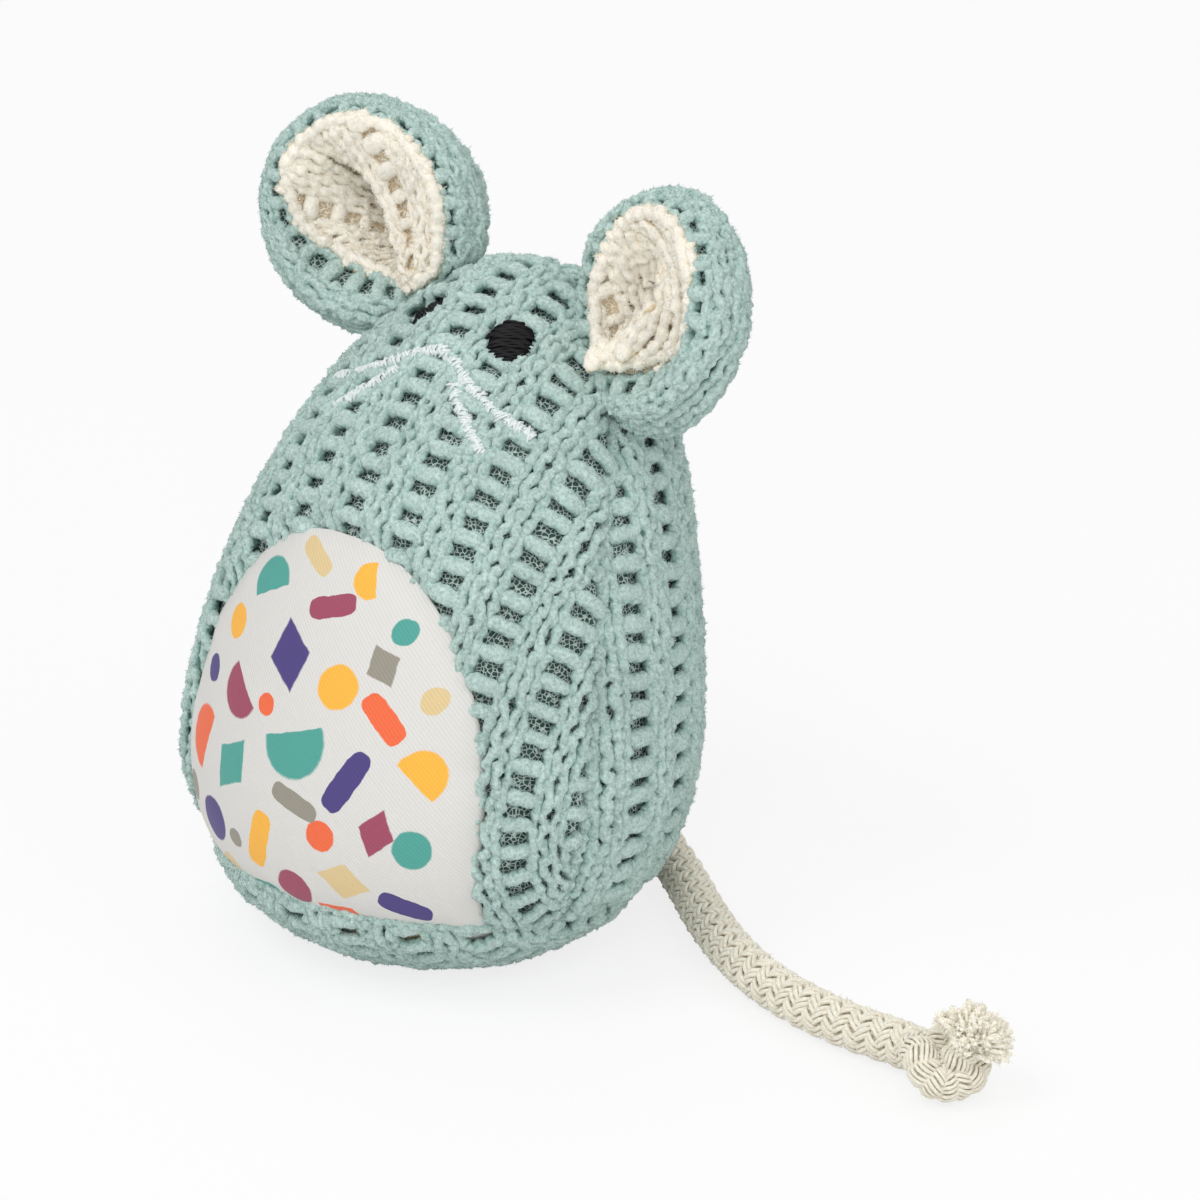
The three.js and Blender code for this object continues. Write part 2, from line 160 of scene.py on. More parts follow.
def addFuzz(store, share, length, seed):  # single fibres standing out of the pile
    roots, aims = np.vstack(store["roots"]), np.vstack(store["aims"])
    shades = np.concatenate(store["shades"])
    pick = np.random.default_rng(seed)
    chosen = np.flatnonzero(pick.uniform(0, 1, len(roots)) < share)
    wild = pick.uniform(-1, 1, (len(chosen), 3))
    aim = unit(aims[chosen] + fibre["splay"] * wild)
    side = unit(np.cross(aim, wild + 0.01)) * fibre["halfWidth"]
    foot = roots[chosen] + wild[:, ::-1] * fibre["stray"] - aims[chosen] * fibre["sunk"]
    tip = foot + aim * (length * (0.75 + 0.35 * wild[:, :1]))
    index = store["count"] + 3 * np.arange(len(chosen))
    store["points"].append(np.stack([foot - side, foot + side, tip], axis=1).reshape(-1, 3))
    store["tris"].append(np.column_stack([index, index + 1, index + 2]))
    shadeAndTone = shades[chosen] + fibre["shade"] * wild[:, 1]
    # painted shade at the foot of each fibre down in the pile, painted light at its tip
    steps = [fibre["footShade"], fibre["footShade"], fibre["tipLight"]]
    store["shadeAndTone"].append(np.repeat(shadeAndTone, 3) + np.tile(steps, len(chosen)))
    store["count"] += 3 * len(chosen)


def addGrid(store, grid, shadeAndTone=0.0, flip=False):  # open sheet of rows and columns
    rows, columns = grid.shape[:2]
    index = store["count"] + np.arange(rows * columns).reshape(rows, columns)
    quads = np.stack([index[:-1, :-1], index[1:, :-1], index[1:, 1:], index[:-1, 1:]], axis=-1)
    quads = quads.reshape(-1, 4)
    store["points"].append(grid.reshape(-1, 3))
    store["quads"].append(quads[:, ::-1] if flip else quads)
    store["shadeAndTone"].append(np.broadcast_to(shadeAndTone, rows * columns))
    store["count"] += rows * columns


def restOnFloor(store, lift):  # pressed flat where it stands
    for points in store["points"]:
        points[:, 2] = np.maximum(points[:, 2], lift)


def addObject(name, data):
    thing = bpy.data.objects.new(name, data)
    bpy.context.scene.collection.objects.link(thing)
    return thing


def makePiece(name, store, material):
    points = np.vstack(store["points"]) * mm
    faces = np.vstack(store["quads"]).tolist()
    if store["tris"]:
        faces += np.vstack(store["tris"]).tolist()
    mesh = bpy.data.meshes.new(name)
    mesh.from_pydata(points.tolist(), [], faces)
    # this point attribute carries painted light and shade, with some random tone, to the materials
    shadeAndTone = mesh.attributes.new("shadeAndTone", "FLOAT", "POINT")
    shadeAndTone.data.foreach_set("value", np.concatenate(store["shadeAndTone"]).astype(np.float32))
    mesh.polygons.foreach_set("use_smooth", [True] * len(mesh.polygons))
    mesh.materials.append(material)
    mesh.update()
    print(name, "has", sum(len(face) - 2 for face in faces), "triangles")
    return addObject(name, mesh)


def sheetPiece(name, grid, material, flip=False):
    store = newStore()
    addGrid(store, grid, flip=flip)
    return makePiece(name, store, material)


def pickOnly(piece):
    bpy.ops.object.select_all(action="DESELECT")
    piece.select_set(True)
    bpy.context.view_layer.objects.active = piece


def closeUp(piece, merge=True, fill=True):  # join the edges of a sheet and face it outwards
    pickOnly(piece)
    bpy.ops.object.mode_set(mode="EDIT")
    bpy.ops.mesh.select_all(action="SELECT")
    if merge:
        bpy.ops.mesh.remove_doubles(threshold=0.02 * mm)
    if fill:
        bpy.ops.mesh.fill_holes(sides=0)
    bpy.ops.mesh.normals_make_consistent(inside=False)
    bpy.ops.object.mode_set(mode="OBJECT")


def applyModifier(piece, kind, **settings):
    pickOnly(piece)
    modifier = piece.modifiers.new(kind.lower(), kind)
    for key, value in settings.items():
        setattr(modifier, key, value)
    bpy.ops.object.modifier_apply(modifier=modifier.name)


def copyOf(node, name):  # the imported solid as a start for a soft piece
    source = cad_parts[node]
    piece = addObject(name, source.data.copy())
    piece.data.transform(source.matrix_world)
    closeUp(piece)
    return piece


def clothe(piece, material):  # smoothed and given its one material
    applyModifier(piece, "SUBSURF", levels=1, render_levels=1)
    pickOnly(piece)
    bpy.ops.object.shade_smooth()
    piece.data.materials.clear()
    piece.data.materials.append(material)


# Materials

def newMaterial(name):
    material = bpy.data.materials.new(name)
    material.use_nodes = True
    tree = material.node_tree
    return material, tree, tree.nodes["Principled BSDF"]


def plug(tree, node, sockets):  # an output is linked, any other value is set
    for key, value in sockets.items():
        if isinstance(value, bpy.types.NodeSocket):
            tree.links.new(value, node.inputs[key])
        else:
            node.inputs[key].default_value = value


def addNode(tree, kind, sockets, output=0, **settings):
    node = tree.nodes.new("ShaderNode" + kind)
    for key, value in settings.items():
        setattr(node, key, value)
    plug(tree, node, sockets)
    return node.outputs[output]


def remap(tree, value, given, wanted=(0.0, 1.0), curve="LINEAR"):
    limits = {"From Min": given[0], "From Max": given[1], "To Min": wanted[0], "To Max": wanted[1]}
    return addNode(tree, "MapRange", {"Value": value, **limits}, interpolation_type=curve)


def addNoise(tree, place, size, output, **detail):  # size of a lump in millimetres
    return addNode(tree, "TexNoise", {"Vector": place, "Scale": 1 / (size * mm), **detail}, output)


def addMix(tree, share, first, second):
    return addNode(tree, "Mix", {"Factor": share, 6: first, 7: second}, 2, data_type="RGBA")


def chenille(name, colours, mottleAndPileShadeRange, relief):  # cut pile yarn: soft rim of light from the sheen, painted shade between the tufts and painted highlight on their crests
    material, tree, shader = newMaterial(name)
    place = addNode(tree, "TexCoord", {}, "Object")
    shadeAndTone = addNode(tree, "Attribute", {}, "Fac", attribute_name="shadeAndTone")
    # painted shade and highlight: the colour runs from the deep colour in the crevices to the crest colour on
    # the lit tops
    ramp = addNode(tree, "ValToRGB", {"Fac": remap(tree, shadeAndTone, (-1.1, 1.1), curve="SMOOTHSTEP")})
    stops = ramp.node.color_ramp.elements
    stops[0].color = hexColour(colours["deep"])
    stops[1].color = hexColour(colours["litCrest"])
    stops.new(0.55).color = hexColour(colours["body"])
    pile = addNoise(tree, place, 0.45, "Fac", Detail=4.0, Roughness=0.7)
    # random mottling, and painted light and shade on the pile: lighter where the bump stands up, darker in
    # its dips
    mottleAndPileShade = remap(tree, pile, (0.28, 0.72), mottleAndPileShadeRange)
    patchy = remap(tree, addNoise(tree, place, 9, "Fac", Detail=2.0), (0.3, 0.7), (0.94, 1.05))
    both = addNode(tree, "Math", {0: mottleAndPileShade, 1: patchy}, operation="MULTIPLY")
    tint = addNode(tree, "VectorMath", {"Vector": ramp, "Scale": both}, operation="SCALE")
    bump = addNode(tree, "Bump", {"Height": pile, "Strength": relief, "Distance": 0.45 * mm})
    plug(tree, shader, {"Base Color": tint, "Normal": bump, "Roughness": 0.95, "Specular IOR Level": 0.15,
                        "Sheen Weight": 0.3, "Sheen Roughness": 0.45,
                        "Sheen Tint": hexColour(colours["sheen"])})
    return material


def warpNet(name, colours):  # knitted backing net: pale looped threads, with painted shade in the holes between them
    material, tree, shader = newMaterial(name)
    place = addNode(tree, "TexCoord", {}, "Object")
    sway = addNoise(tree, place, 1.2, "Color")
    shift = addNode(tree, "VectorMath", {0: sway, 1: (0.5 * mm,) * 3, 2: place}, operation="MULTIPLY_ADD")
    cells = addNode(tree, "TexVoronoi", {"Vector": shift, "Scale": 1 / (0.56 * mm), "Randomness": 0.8},
                    "Distance", feature="DISTANCE_TO_EDGE")
    thread = remap(tree, cells, (0.05, 0.15), (1.0, 0.0), "SMOOTHSTEP")
    # painted shade in the holes, the thread colour between them
    tint = addMix(tree, thread, hexColour(colours["shadedHole"]), hexColour(colours["thread"]))
    bump = addNode(tree, "Bump", {"Height": thread, "Strength": 0.8, "Distance": 0.2 * mm})
    plug(tree, shader, {"Base Color": tint, "Normal": bump, "Roughness": 0.8})
    return material


def spunYarn(name, colours, roughness, sheen):  # twisted thread: painted highlight on the crown, painted shade where strands meet
    material, tree, shader = newMaterial(name)
    place = addNode(tree, "TexCoord", {}, "Object")
    shadeAndTone = addNode(tree, "Attribute", {}, "Fac", attribute_name="shadeAndTone")
    fibres = addNoise(tree, place, 0.3, "Fac", Detail=3.0)
    # painted light and shade: from the deep colour where strands meet to the crest colour on the crown
    crown = remap(tree, shadeAndTone, (-1.1, 0.8))
    mix = addMix(tree, crown, hexColour(colours["deep"]), hexColour(colours["litCrest"]))
    # random mottling, and painted light and shade along the fibres, following the bump
    mottleAndPileShade = remap(tree, fibres, (0.3, 0.7), (0.86, 1.08))
    tint = addNode(tree, "VectorMath", {"Vector": mix, "Scale": mottleAndPileShade}, operation="SCALE")
    bump = addNode(tree, "Bump", {"Height": fibres, "Strength": 0.3, "Distance": 0.12 * mm})
    plug(tree, shader, {"Base Color": tint, "Normal": bump, "Roughness": roughness,
                        "Specular IOR Level": 0.2, "Sheen Weight": sheen})
    return material


def plainFibre(name, colour, roughness, sheen):
    material, tree, shader = newMaterial(name)
    plug(tree, shader, {"Base Color": hexColour(colour), "Roughness": roughness, "Sheen Weight": sheen})
    return material


# the deep colours are painted shade in crevices and where strands meet, the crest colours painted highlight
# on the tops
tealChenille = chenille("teal polyester chenille", {
    "deep": "#6f978d", "body": "#b4d4cc", "litCrest": "#cbe3dd", "sheen": "#e6efec"}, (0.62, 1.28), 1.0)
creamChenille = chenille("cream polyester chenille", {
    "deep": "#e6d3ae", "body": "#fbf4e5", "litCrest": "#f6f1e5", "sheen": "#f6f2ea"}, (0.9, 1.08), 0.35)
# the hole colours are painted shade seen through the net
greenNet = warpNet("green warp knit net", {"shadedHole": "#3b5a52", "thread": "#dcece7"})
tanNet = warpNet("tan warp knit net", {"shadedHole": "#d6bf97", "thread": "#fbf4e7"})
cottonYarn = spunYarn("braided cotton yarn", {"deep": "#d8cbb0", "litCrest": "#f1ecdd"}, 0.9, 0.25)
frayedCotton = spunYarn("frayed cotton yarn", {"deep": "#f6efdc", "litCrest": "#fdf9ec"}, 0.95, 0.4)
blackThread = spunYarn("black rayon embroidery thread", {"deep": "#040404", "litCrest": "#151316"}, 0.5, 0.0)
whiteThread = spunYarn("white rayon embroidery thread", {"deep": "#b9c8c5", "litCrest": "#e6edec"}, 0.6, 0.1)
print("thread and yarn materials made")


# Body form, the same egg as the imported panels

body = {"height": 83.0, "halfWidth": 34.0, "halfDepth": 31.0, "widest": 27.0, "baseCut": 1.8,
        "fullness": 2.3, "taper": 0.035, "lean": 19.5, "leanCurve": 2.2, "meanRadius": 32.0}
seams = {"side": [(-9, -5), (-8.5, 20), (-5.5, 34), (-0.5, 49), (3.5, 58), (9.5, 67), (14.5, 75),
                  (20.5, 81.5), (27, 90)],
         "baseHeight": 9.6, "baseSlope": np.tan(np.radians(4.5)), "gapSlope": 0.85}
patch = {"halfWidth": 24.6, "footHalfWidth": 22.0, "shoulder": 25.0, "rise": 33.0, "sink": 1.0,
         "edgeSink": 1.5, "meanRadius": 26.0, "behind": 5.0}
face = {"eyes": [(33.0, 78.3, 1.0, -0.1), (-41.0, 78.9, 2.3, -1.6)],  # angle, height, press, lift
        "eyeRadius": 2.9, "eyeTall": 3.2, "noseHeight": 76.8, "noseDrop": 1.1,
        "whiskers": [((11, 75.9), (50, 69.6)), ((15, 74.0), (34, 68.1))], "whiskerWidth": 0.98,
        "eyePressIn": 0.5, "eyePressFade": 1.3, "whiskerPress": 0.4, "whiskerReach": 0.4, "whiskerFade": 1.0}


def shareAt(z):
    rise = np.clip((z - body["widest"]) / (body["height"] - body["widest"]), 0, 1)
    drop = np.clip((body["widest"] - z) / (body["widest"] + body["baseCut"]), 0, 1)
    above = np.sqrt(1 - rise * rise) - body["taper"] * np.sin(np.pi * rise)
    below = (1 - drop ** body["fullness"]) ** (1 / body["fullness"])
    return np.where(z > body["widest"], above, below)


def centreAt(z):
    return body["lean"] * (np.clip(z, 0, None) / body["height"]) ** body["leanCurve"]


def skinAt(angle, z):
    z = np.clip(z, 0, body["height"] - 0.004)
    share = shareAt(z)
    return np.stack([body["halfWidth"] * share * np.sin(angle),
                     centreAt(z) - body["halfDepth"] * share * np.cos(angle), z], axis=-1)


def skinOut(angle, z):
    z = np.clip(z, 0.06, body["height"] - 0.06)
    around = skinAt(angle + 0.01, z) - skinAt(angle - 0.01, z)
    upward = skinAt(angle, z + 0.05) - skinAt(angle, z - 0.05)
    return unit(np.cross(around, upward))


def skinGap(points):  # rough height of a point above the egg
    z = points[..., 2]
    share = np.maximum(shareAt(z), 0.02)
    ratio = np.hypot(points[..., 0] / (body["halfWidth"] * share),
                     (points[..., 1] - centreAt(z)) / (body["halfDepth"] * share))
    return (ratio - 1) * body["meanRadius"] * share


def sideSeamAt(z):
    line = np.array(seams["side"], float)
    return np.interp(z, line[:, 1], line[:, 0])


def seamGap(points):  # in front of the side seam is positive
    return seams["gapSlope"] * (sideSeamAt(points[..., 2]) - points[..., 1])


def baseGap(points):  # above the base seam is positive
    return points[..., 2] - seams["baseHeight"] + seams["baseSlope"] * points[..., 1]


def patchHalfAt(z):
    below = patch["footHalfWidth"] + (patch["halfWidth"] - patch["footHalfWidth"]) * z / patch["shoulder"]
    rise = np.clip((z - patch["shoulder"]) / patch["rise"], 0, 1)
    return np.where(z < patch["shoulder"], below, patch["halfWidth"] * np.sqrt(1 - rise * rise))


def patchGap(points):  # outside the belly patch is positive
    x, y, z = points[..., 0], points[..., 1], points[..., 2]
    ratio = np.hypot(x / patch["halfWidth"], np.maximum(z - patch["shoulder"], 0) / patch["rise"])
    gap = np.where(z < patch["shoulder"], np.abs(x) - patchHalfAt(z), (ratio - 1) * patch["meanRadius"])
    return np.where(y > patch["behind"], 20, gap)


def stitchLine(ends, side, count):  # a row of stitches lies on the skin between two places
    share = np.linspace(0, 1, count)
    angle = np.radians(side * (ends[0][0] + (ends[1][0] - ends[0][0]) * share))
    z = ends[0][1] + (ends[1][1] - ends[0][1]) * share
    return skinAt(angle, z), skinOut(angle, z)


whiskerLines = [stitchLine(ends, side, 60) for ends in face["whiskers"] for side in (1, -1)]


def stitchPress(points):  # embroidery holds the pile down
    press = np.zeros(len(points))
    for angle, z, deep, _ in face["eyes"]:
        away = np.linalg.norm(points - skinAt(np.radians(angle), np.array(z)), axis=1)
        fade = smooth((away - face["eyeRadius"] + face["eyePressIn"]) / face["eyePressFade"])
        press = np.maximum(press, deep * (1 - fade))
    for line, _ in whiskerLines:
        away = np.min(np.linalg.norm(points[:, None] - line[None, ::3], axis=2), axis=1)
        fade = smooth((away - face["whiskerReach"]) / face["whiskerFade"])
        press = np.maximum(press, face["whiskerPress"] * (1 - fade))
    return press


# Knit: two rails with rungs across a gap, then a raised pair of cords, over and over

knit = {"rail": 0.275, "rib": 0.419, "railRadius": 0.74, "ribRadius": 0.72, "railLift": -0.74,
        "ribLift": -0.5, "rungPitch": 3.6, "rungLong": 1.1, "rungHigh": 0.84, "rungLift": -0.95,
        "rungCrown": 0.32, "rungSlip": 0.22, "rungTilt": 0.2, "rungSwell": 0.09, "rungSides": 13,
        "rungSteps": 14, "rungLump": 0.21, "rungLumpCell": 0.6, "spacing": 0.29, "sides": 11, "lump": 0.27,
        "lumpCell": 0.66, "dive": 1.25, "diveLength": 1.9, "beadPitch": 1.8, "bead": 0.14, "pit": 0.27,
        "drift": 0.22, "driftCell": 2.6, "shake": 0.12, "shakeCell": 1.1, "swell": 0.13, "swellCell": 1.25,
        "wander": 0.14, "wanderCell": 3.1, "endLength": 0.7, "planeReach": 35.5,
        "planeStep": np.radians(13.15), "planeShift": -0.2, "fuzzShare": 0.85, "fuzzLength": 0.46,
        "seamRadius": 0.85, "seamLift": -1.75, "floorLift": 0.02}


def runsOf(inside, least):
    edges = np.flatnonzero(np.diff(np.concatenate([[0], inside.astype(int), [0]])))
    return [(a, b) for a, b in zip(edges[::2], edges[1::2]) if b - a >= least]


def arcOf(line):  # distance along a wale, from the level where the body is widest
    arc = walkAlong(line)
    return arc - arc[np.argmin(np.abs(line[:, 2] - body["widest"]))]


def addCord(store, line, out, radius, lift, edge, grow, seed, dive=0.0, part=0.0, start=0.0):
    line, out, edge, grow = resample(line, knit["spacing"], out, edge[:, None], grow[:, None])
    count = len(line)
    along = np.arange(count) * knit["spacing"]
    across = np.cross(tangents(line), out)
    walk = np.column_stack([along, np.full(count, seed * 3.7), np.zeros(count)])
    drift = lumps(walk, knit["driftCell"], seed)
    sway = knit["drift"] * drift + knit["shake"] * lumps(walk, knit["shakeCell"], seed + 3)
    sway = sway + part * knit["pit"] * np.sin(2 * np.pi * (start + along + 0.5 * drift) / knit["rungPitch"])
    bead = knit["bead"] * np.sin(2 * np.pi * (along + 0.6 * drift) / knit["beadPitch"] + seed)
    swell = grow[:, 0] * (1 + bead + knit["swell"] * lumps(walk, knit["swellCell"], seed + 5))
    sink = dive * (1 - smooth(edge[:, 0] / knit["diveLength"]))
    height = lift - sink + knit["wander"] * lumps(walk, knit["wanderCell"], seed + 9)
    ends = np.minimum(along, along[-1] - along)
    taper = np.sqrt(np.clip(1 - (1 - np.clip(ends / knit["endLength"], 0, 1)) ** 2, 0.12, 1))
    thick = radius * swell * taper
    middle = line + out * height[:, None] + across * sway[:, None]
    # painted shade: cords that lie deep in the knit are darker
    addTube(store, middle, out, thick, thick, knit["sides"], shadeAndTone=-0.2 * (lift < -0.6), lumpSize=knit["lump"],
            lumpCell=knit["lumpCell"], seed=seed)


def addRungs(store, line, out, reach, sides, grow, arc, seed, dive):
    line, out, reach, sides, grow, arc = resample(line, 0.2, out, reach, sides, grow[:, None], arc[:, None])
    pitch, steps = knit["rungPitch"], knit["rungSteps"]
    tangent = tangents(line)
    rows = np.arange(np.ceil(arc[0, 0] / pitch), np.floor(arc[-1, 0] / pitch) + 1)
    nudge = draws(len(rows) + 1, seed)
    whole = np.linspace(-1, 1, 41)
    ends = np.sqrt(np.clip(1.02 - np.abs(np.linspace(-1, 1, steps)) ** 5, 0.1, 1))
    for i, row in enumerate(rows):
        at = int(np.argmin(np.abs(arc[:, 0] - row * pitch - knit["rungSlip"] * nudge[i])))
        kept = whole[np.interp(whole, [-1, 0, 1], sides[at]) > 0.1]  # cut back at a seam
        if len(kept) < 9:
            continue
        span = np.linspace(kept[0], kept[-1], steps)[:, None]
        edge = np.interp(span[:, 0], [-1, 0, 1], sides[at])
        rung = line[at] + reach[at] * span + tangent[at] * (knit["rungTilt"] * nudge[i] * span)
        crown = knit["rungLift"] + knit["rungCrown"] * (1 - span ** 2)
        crown = crown - 0.7 * dive * (1 - smooth(edge / knit["diveLength"]))[:, None]
        full = grow[at, 0] * (1 + knit["rungSwell"] * nudge[i + 1]) * ends
        # painted light: the raised rungs are a little lighter
        addTube(store, rung + out[at] * crown, np.tile(out[at], (steps, 1)), knit["rungLong"] * full,
                knit["rungHigh"] * full, knit["rungSides"], shadeAndTone=0.05, lumpSize=knit["rungLump"],
                lumpCell=knit["rungLumpCell"], seed=seed + i)


def knitPanel(store, lineAt, first, last, phase=0.0, seed=1, plain=(), dive=knit["dive"]):
    for step in range(first, last + 1):
        ladder = step + phase
        cords = [(ladder - knit["rail"], "rail", 0), (ladder + knit["rail"], "rail", 0),
                 (ladder + knit["rib"], "rib", -1), (ladder + 1 - knit["rib"], "rib", 1)]
        if step in plain:
            cords += [(ladder - 0.1, "rail", 0), (ladder + 0.08, "rib", 0)]
        for order, (u, kind, part) in enumerate(cords):
            line, out, edge, grow = lineAt(u)
            arc = arcOf(line)
            for a, b in runsOf(edge > -0.25, 6):
                if arc[b - 1] - arc[a] > 2.2:
                    addCord(store, line[a:b], out[a:b], knit[kind + "Radius"], knit[kind + "Lift"], edge[a:b],
                            grow[a:b], 1000 + seed + 17 * step + order, dive, part, arc[a])
        if step in plain:
            continue
        line, out, edge, grow = lineAt(ladder)
        after, before = lineAt(ladder + knit["rail"]), lineAt(ladder - knit["rail"])
        reach = (after[0] - before[0]) / 2
        sides = np.column_stack([before[2], edge, after[2]])
        tangent = tangents(line)
        reach = reach - tangent * np.sum(reach * tangent, axis=1, keepdims=True)
        arc = arcOf(line)
        for a, b in runsOf(sides.max(axis=1) > 0.3, 6):
            addRungs(store, line[a:b], out[a:b], reach[a:b], sides[a:b], grow[a:b], arc[a:b],
                     1000 + seed + 31 * step, dive)


def addSeam(store, angle, z, seed):  # a sunk cord closes the valley where two panels meet
    line = resample(skinAt(angle, z), knit["spacing"])[0]
    z = line[:, 2]
    angle = np.arctan2(line[:, 0] / body["halfWidth"], (centreAt(z) - line[:, 1]) / body["halfDepth"])
    ones = np.ones(len(line))
    addCord(store, line, skinOut(angle, z), knit["seamRadius"], knit["seamLift"], 9 * ones, ones, seed)


def planeAt(u):  # wales of the front and the base lie in planes that face sideways
    return knit["planeReach"] * np.sin(knit["planeStep"] * u) + knit["planeShift"]


front = {"turnUnder": 0.6, "turnReach": 2.2, "slack": 0.1, "slackFrom": 10, "slackFade": 12, "slackTop": 42,
         "slackTopFade": 20, "crown": 0.7, "crownFrom": 79.5, "crownFade": 3}


def frontLine(u):
    x = planeAt(u)
    heights = np.linspace(body["widest"], body["height"], 4000)
    top = np.interp(-abs(x) / body["halfWidth"], -shareAt(heights), heights)
    turn = np.linspace(0, np.pi / 2, 420)
    up = np.concatenate([np.linspace(5, body["widest"], 130, endpoint=False),
                         body["widest"] + (top - body["widest"]) * np.sin(turn)])
    down = body["widest"] + (top - body["widest"]) * np.cos(np.linspace(0, 0.75, 160)[1:])
    z = np.concatenate([up, down])
    angle = np.arcsin(np.clip(x / np.maximum(body["halfWidth"] * shareAt(z), 1e-3), -1, 1))
    angle[len(up):] = np.pi - angle[len(up):]
    line, out = skinAt(angle, z), skinOut(angle, z)
    edge = np.minimum(np.minimum(seamGap(line), baseGap(line)), patchGap(line))
    sink = stitchPress(line) + front["turnUnder"] * (1 - smooth(patchGap(line) / front["turnReach"]))
    slack = smooth((np.abs(line[:, 0]) - front["slackFrom"]) / front["slackFade"])
    slack = slack * (1 - smooth((line[:, 2] - front["slackTop"]) / front["slackTopFade"]))
    sink = sink - front["crown"] * smooth((line[:, 2] - front["crownFrom"]) / front["crownFade"])
    return line - out * sink[:, None], out, edge, 1 - front["slack"] * slack


back = {"middle": 130, "step": 17, "bunch": -0.5, "least": 0.08, "full": 1.15, "thin": 0.4}


def backLine(side):
    def lineAt(u):
        low = np.linspace(4, body["widest"], 120, endpoint=False)
        rise = np.sin(np.pi / 2 * np.linspace(0, 0.99, 460))
        z = np.concatenate([low, body["widest"] + (body["height"] - body["widest"]) * rise])
        share = np.maximum(shareAt(z), back["least"])
        angle = side * np.radians(back["middle"] + back["step"] * u * share ** back["bunch"])
        line = skinAt(angle, z)
        edge = np.minimum(np.minimum(-seamGap(line), side * line[:, 0]), baseGap(line))
        return line, skinOut(angle, z), edge, np.clip(back["full"] * share ** back["thin"], 0.6, 1.12)
    return lineAt


def baseLine(u):
    x = planeAt(u)
    heights = np.linspace(0, body["widest"], 2000)
    low = np.interp(abs(x) / body["halfWidth"], shareAt(heights), heights)
    fall = low + (14 - low) * np.linspace(1, 0, 160) ** 2
    half = np.arcsin(np.clip(x / (body["halfWidth"] * shareAt(fall)), -1, 1))
    before, behind = skinAt(half, fall), skinAt(np.pi - half, fall)
    under = np.linspace(before[-1], behind[-1], 60)[1:-1]
    flat = np.tile([0.0, 0.0, -1.0], (len(under), 1))
    line = np.vstack([before, under, behind[::-1]])
    out = np.vstack([skinOut(half, fall), flat, skinOut(np.pi - half, fall)[::-1]])
    line, out = resample(line, 0.25, out, count=320)
    wider = np.pad(out, ((6, 6), (0, 0)), mode="edge")
    out = unit(np.column_stack([np.convolve(wider[:, i], np.ones(13) / 13, mode="valid") for i in range(3)]))
    return line, out, -baseGap(line), np.ones(len(line))


def sideSeam():  # up one side, over behind the crown and down the other
    z = np.concatenate([np.linspace(9, 78, 240), np.linspace(78, 82.9, 200)[1:]])
    lean = (sideSeamAt(z) - centreAt(z)) / (body["halfDepth"] * shareAt(z))
    angle, z = np.arccos(-lean[lean < 0.995]), z[lean < 0.995]
    return np.concatenate([angle, 2 * np.pi - angle[::-1]]), np.concatenate([z, z[::-1]])


def baseSeam():
    angle = np.linspace(0, 2 * np.pi, 400)
    z = np.full(400, seams["baseHeight"])
    for _ in range(8):
        z = seams["baseHeight"] - seams["baseSlope"] * skinAt(angle, z)[:, 1]
    return angle, z


def backSeam():
    return np.full(300, np.pi), np.linspace(9, 81, 300)


panels = {
    "frontKnit": ("front_panel", frontLine, -7, 6, 0.0, 3, (), sideSeam),
    "backLeftKnit": ("back_left_panel", backLine(1), -5, 5, -0.47, 211, (-3,), backSeam),
    "backRightKnit": ("back_right_panel", backLine(-1), -5, 5, -0.47, 409, (-3,), None),
    "baseKnit": ("base_panel", baseLine, -6, 5, 0.0, 3, (), baseSeam),
}
for name, (node, lineAt, first, last, phase, seed, plain, seam) in panels.items():
    store = newStore()
    knitPanel(store, lineAt, first, last, phase, seed, plain)
    if seam:
        addSeam(store, *seam(), seed + 5)
    addFuzz(store, knit["fuzzShare"], knit["fuzzLength"], seed)
    restOnFloor(store, knit["floorLift"])
    piece = makePiece(name, store, tealChenille)
    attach(piece, "torso")
    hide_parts(node)
print("body knit made")


# Net lining: the closed bag under the knit

net = {"inset": 1.75, "patchInset": 0.9, "columns": 120, "rows": 90}
turn = np.linspace(0, 2 * np.pi, net["columns"] + 1)
heights = body["height"] * (1 - np.cos(np.pi * np.linspace(0, 1, net["rows"]))) / 2
angles, levels = np.meshgrid(turn, heights)
bag = skinAt(angles, levels) - skinOut(angles, levels) * net["inset"]
bag[..., 2] = np.maximum(bag[..., 2], net["inset"])
outside = skinAt(angles, levels)
held = (patchGap(outside) < 1.5) & (baseGap(outside) > -1.5)
lower = np.where(held, net["patchInset"], 0)  # behind the belly patch
bag = bag - skinOut(angles, levels) * lower[..., None]
netBag = sheetPiece("netLining", bag, greenNet)
closeUp(netBag)
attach(netBag, "torso")
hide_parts("net_lining")
print("net lining made")


# Belly patch: printed twill, tucked under the knit all round

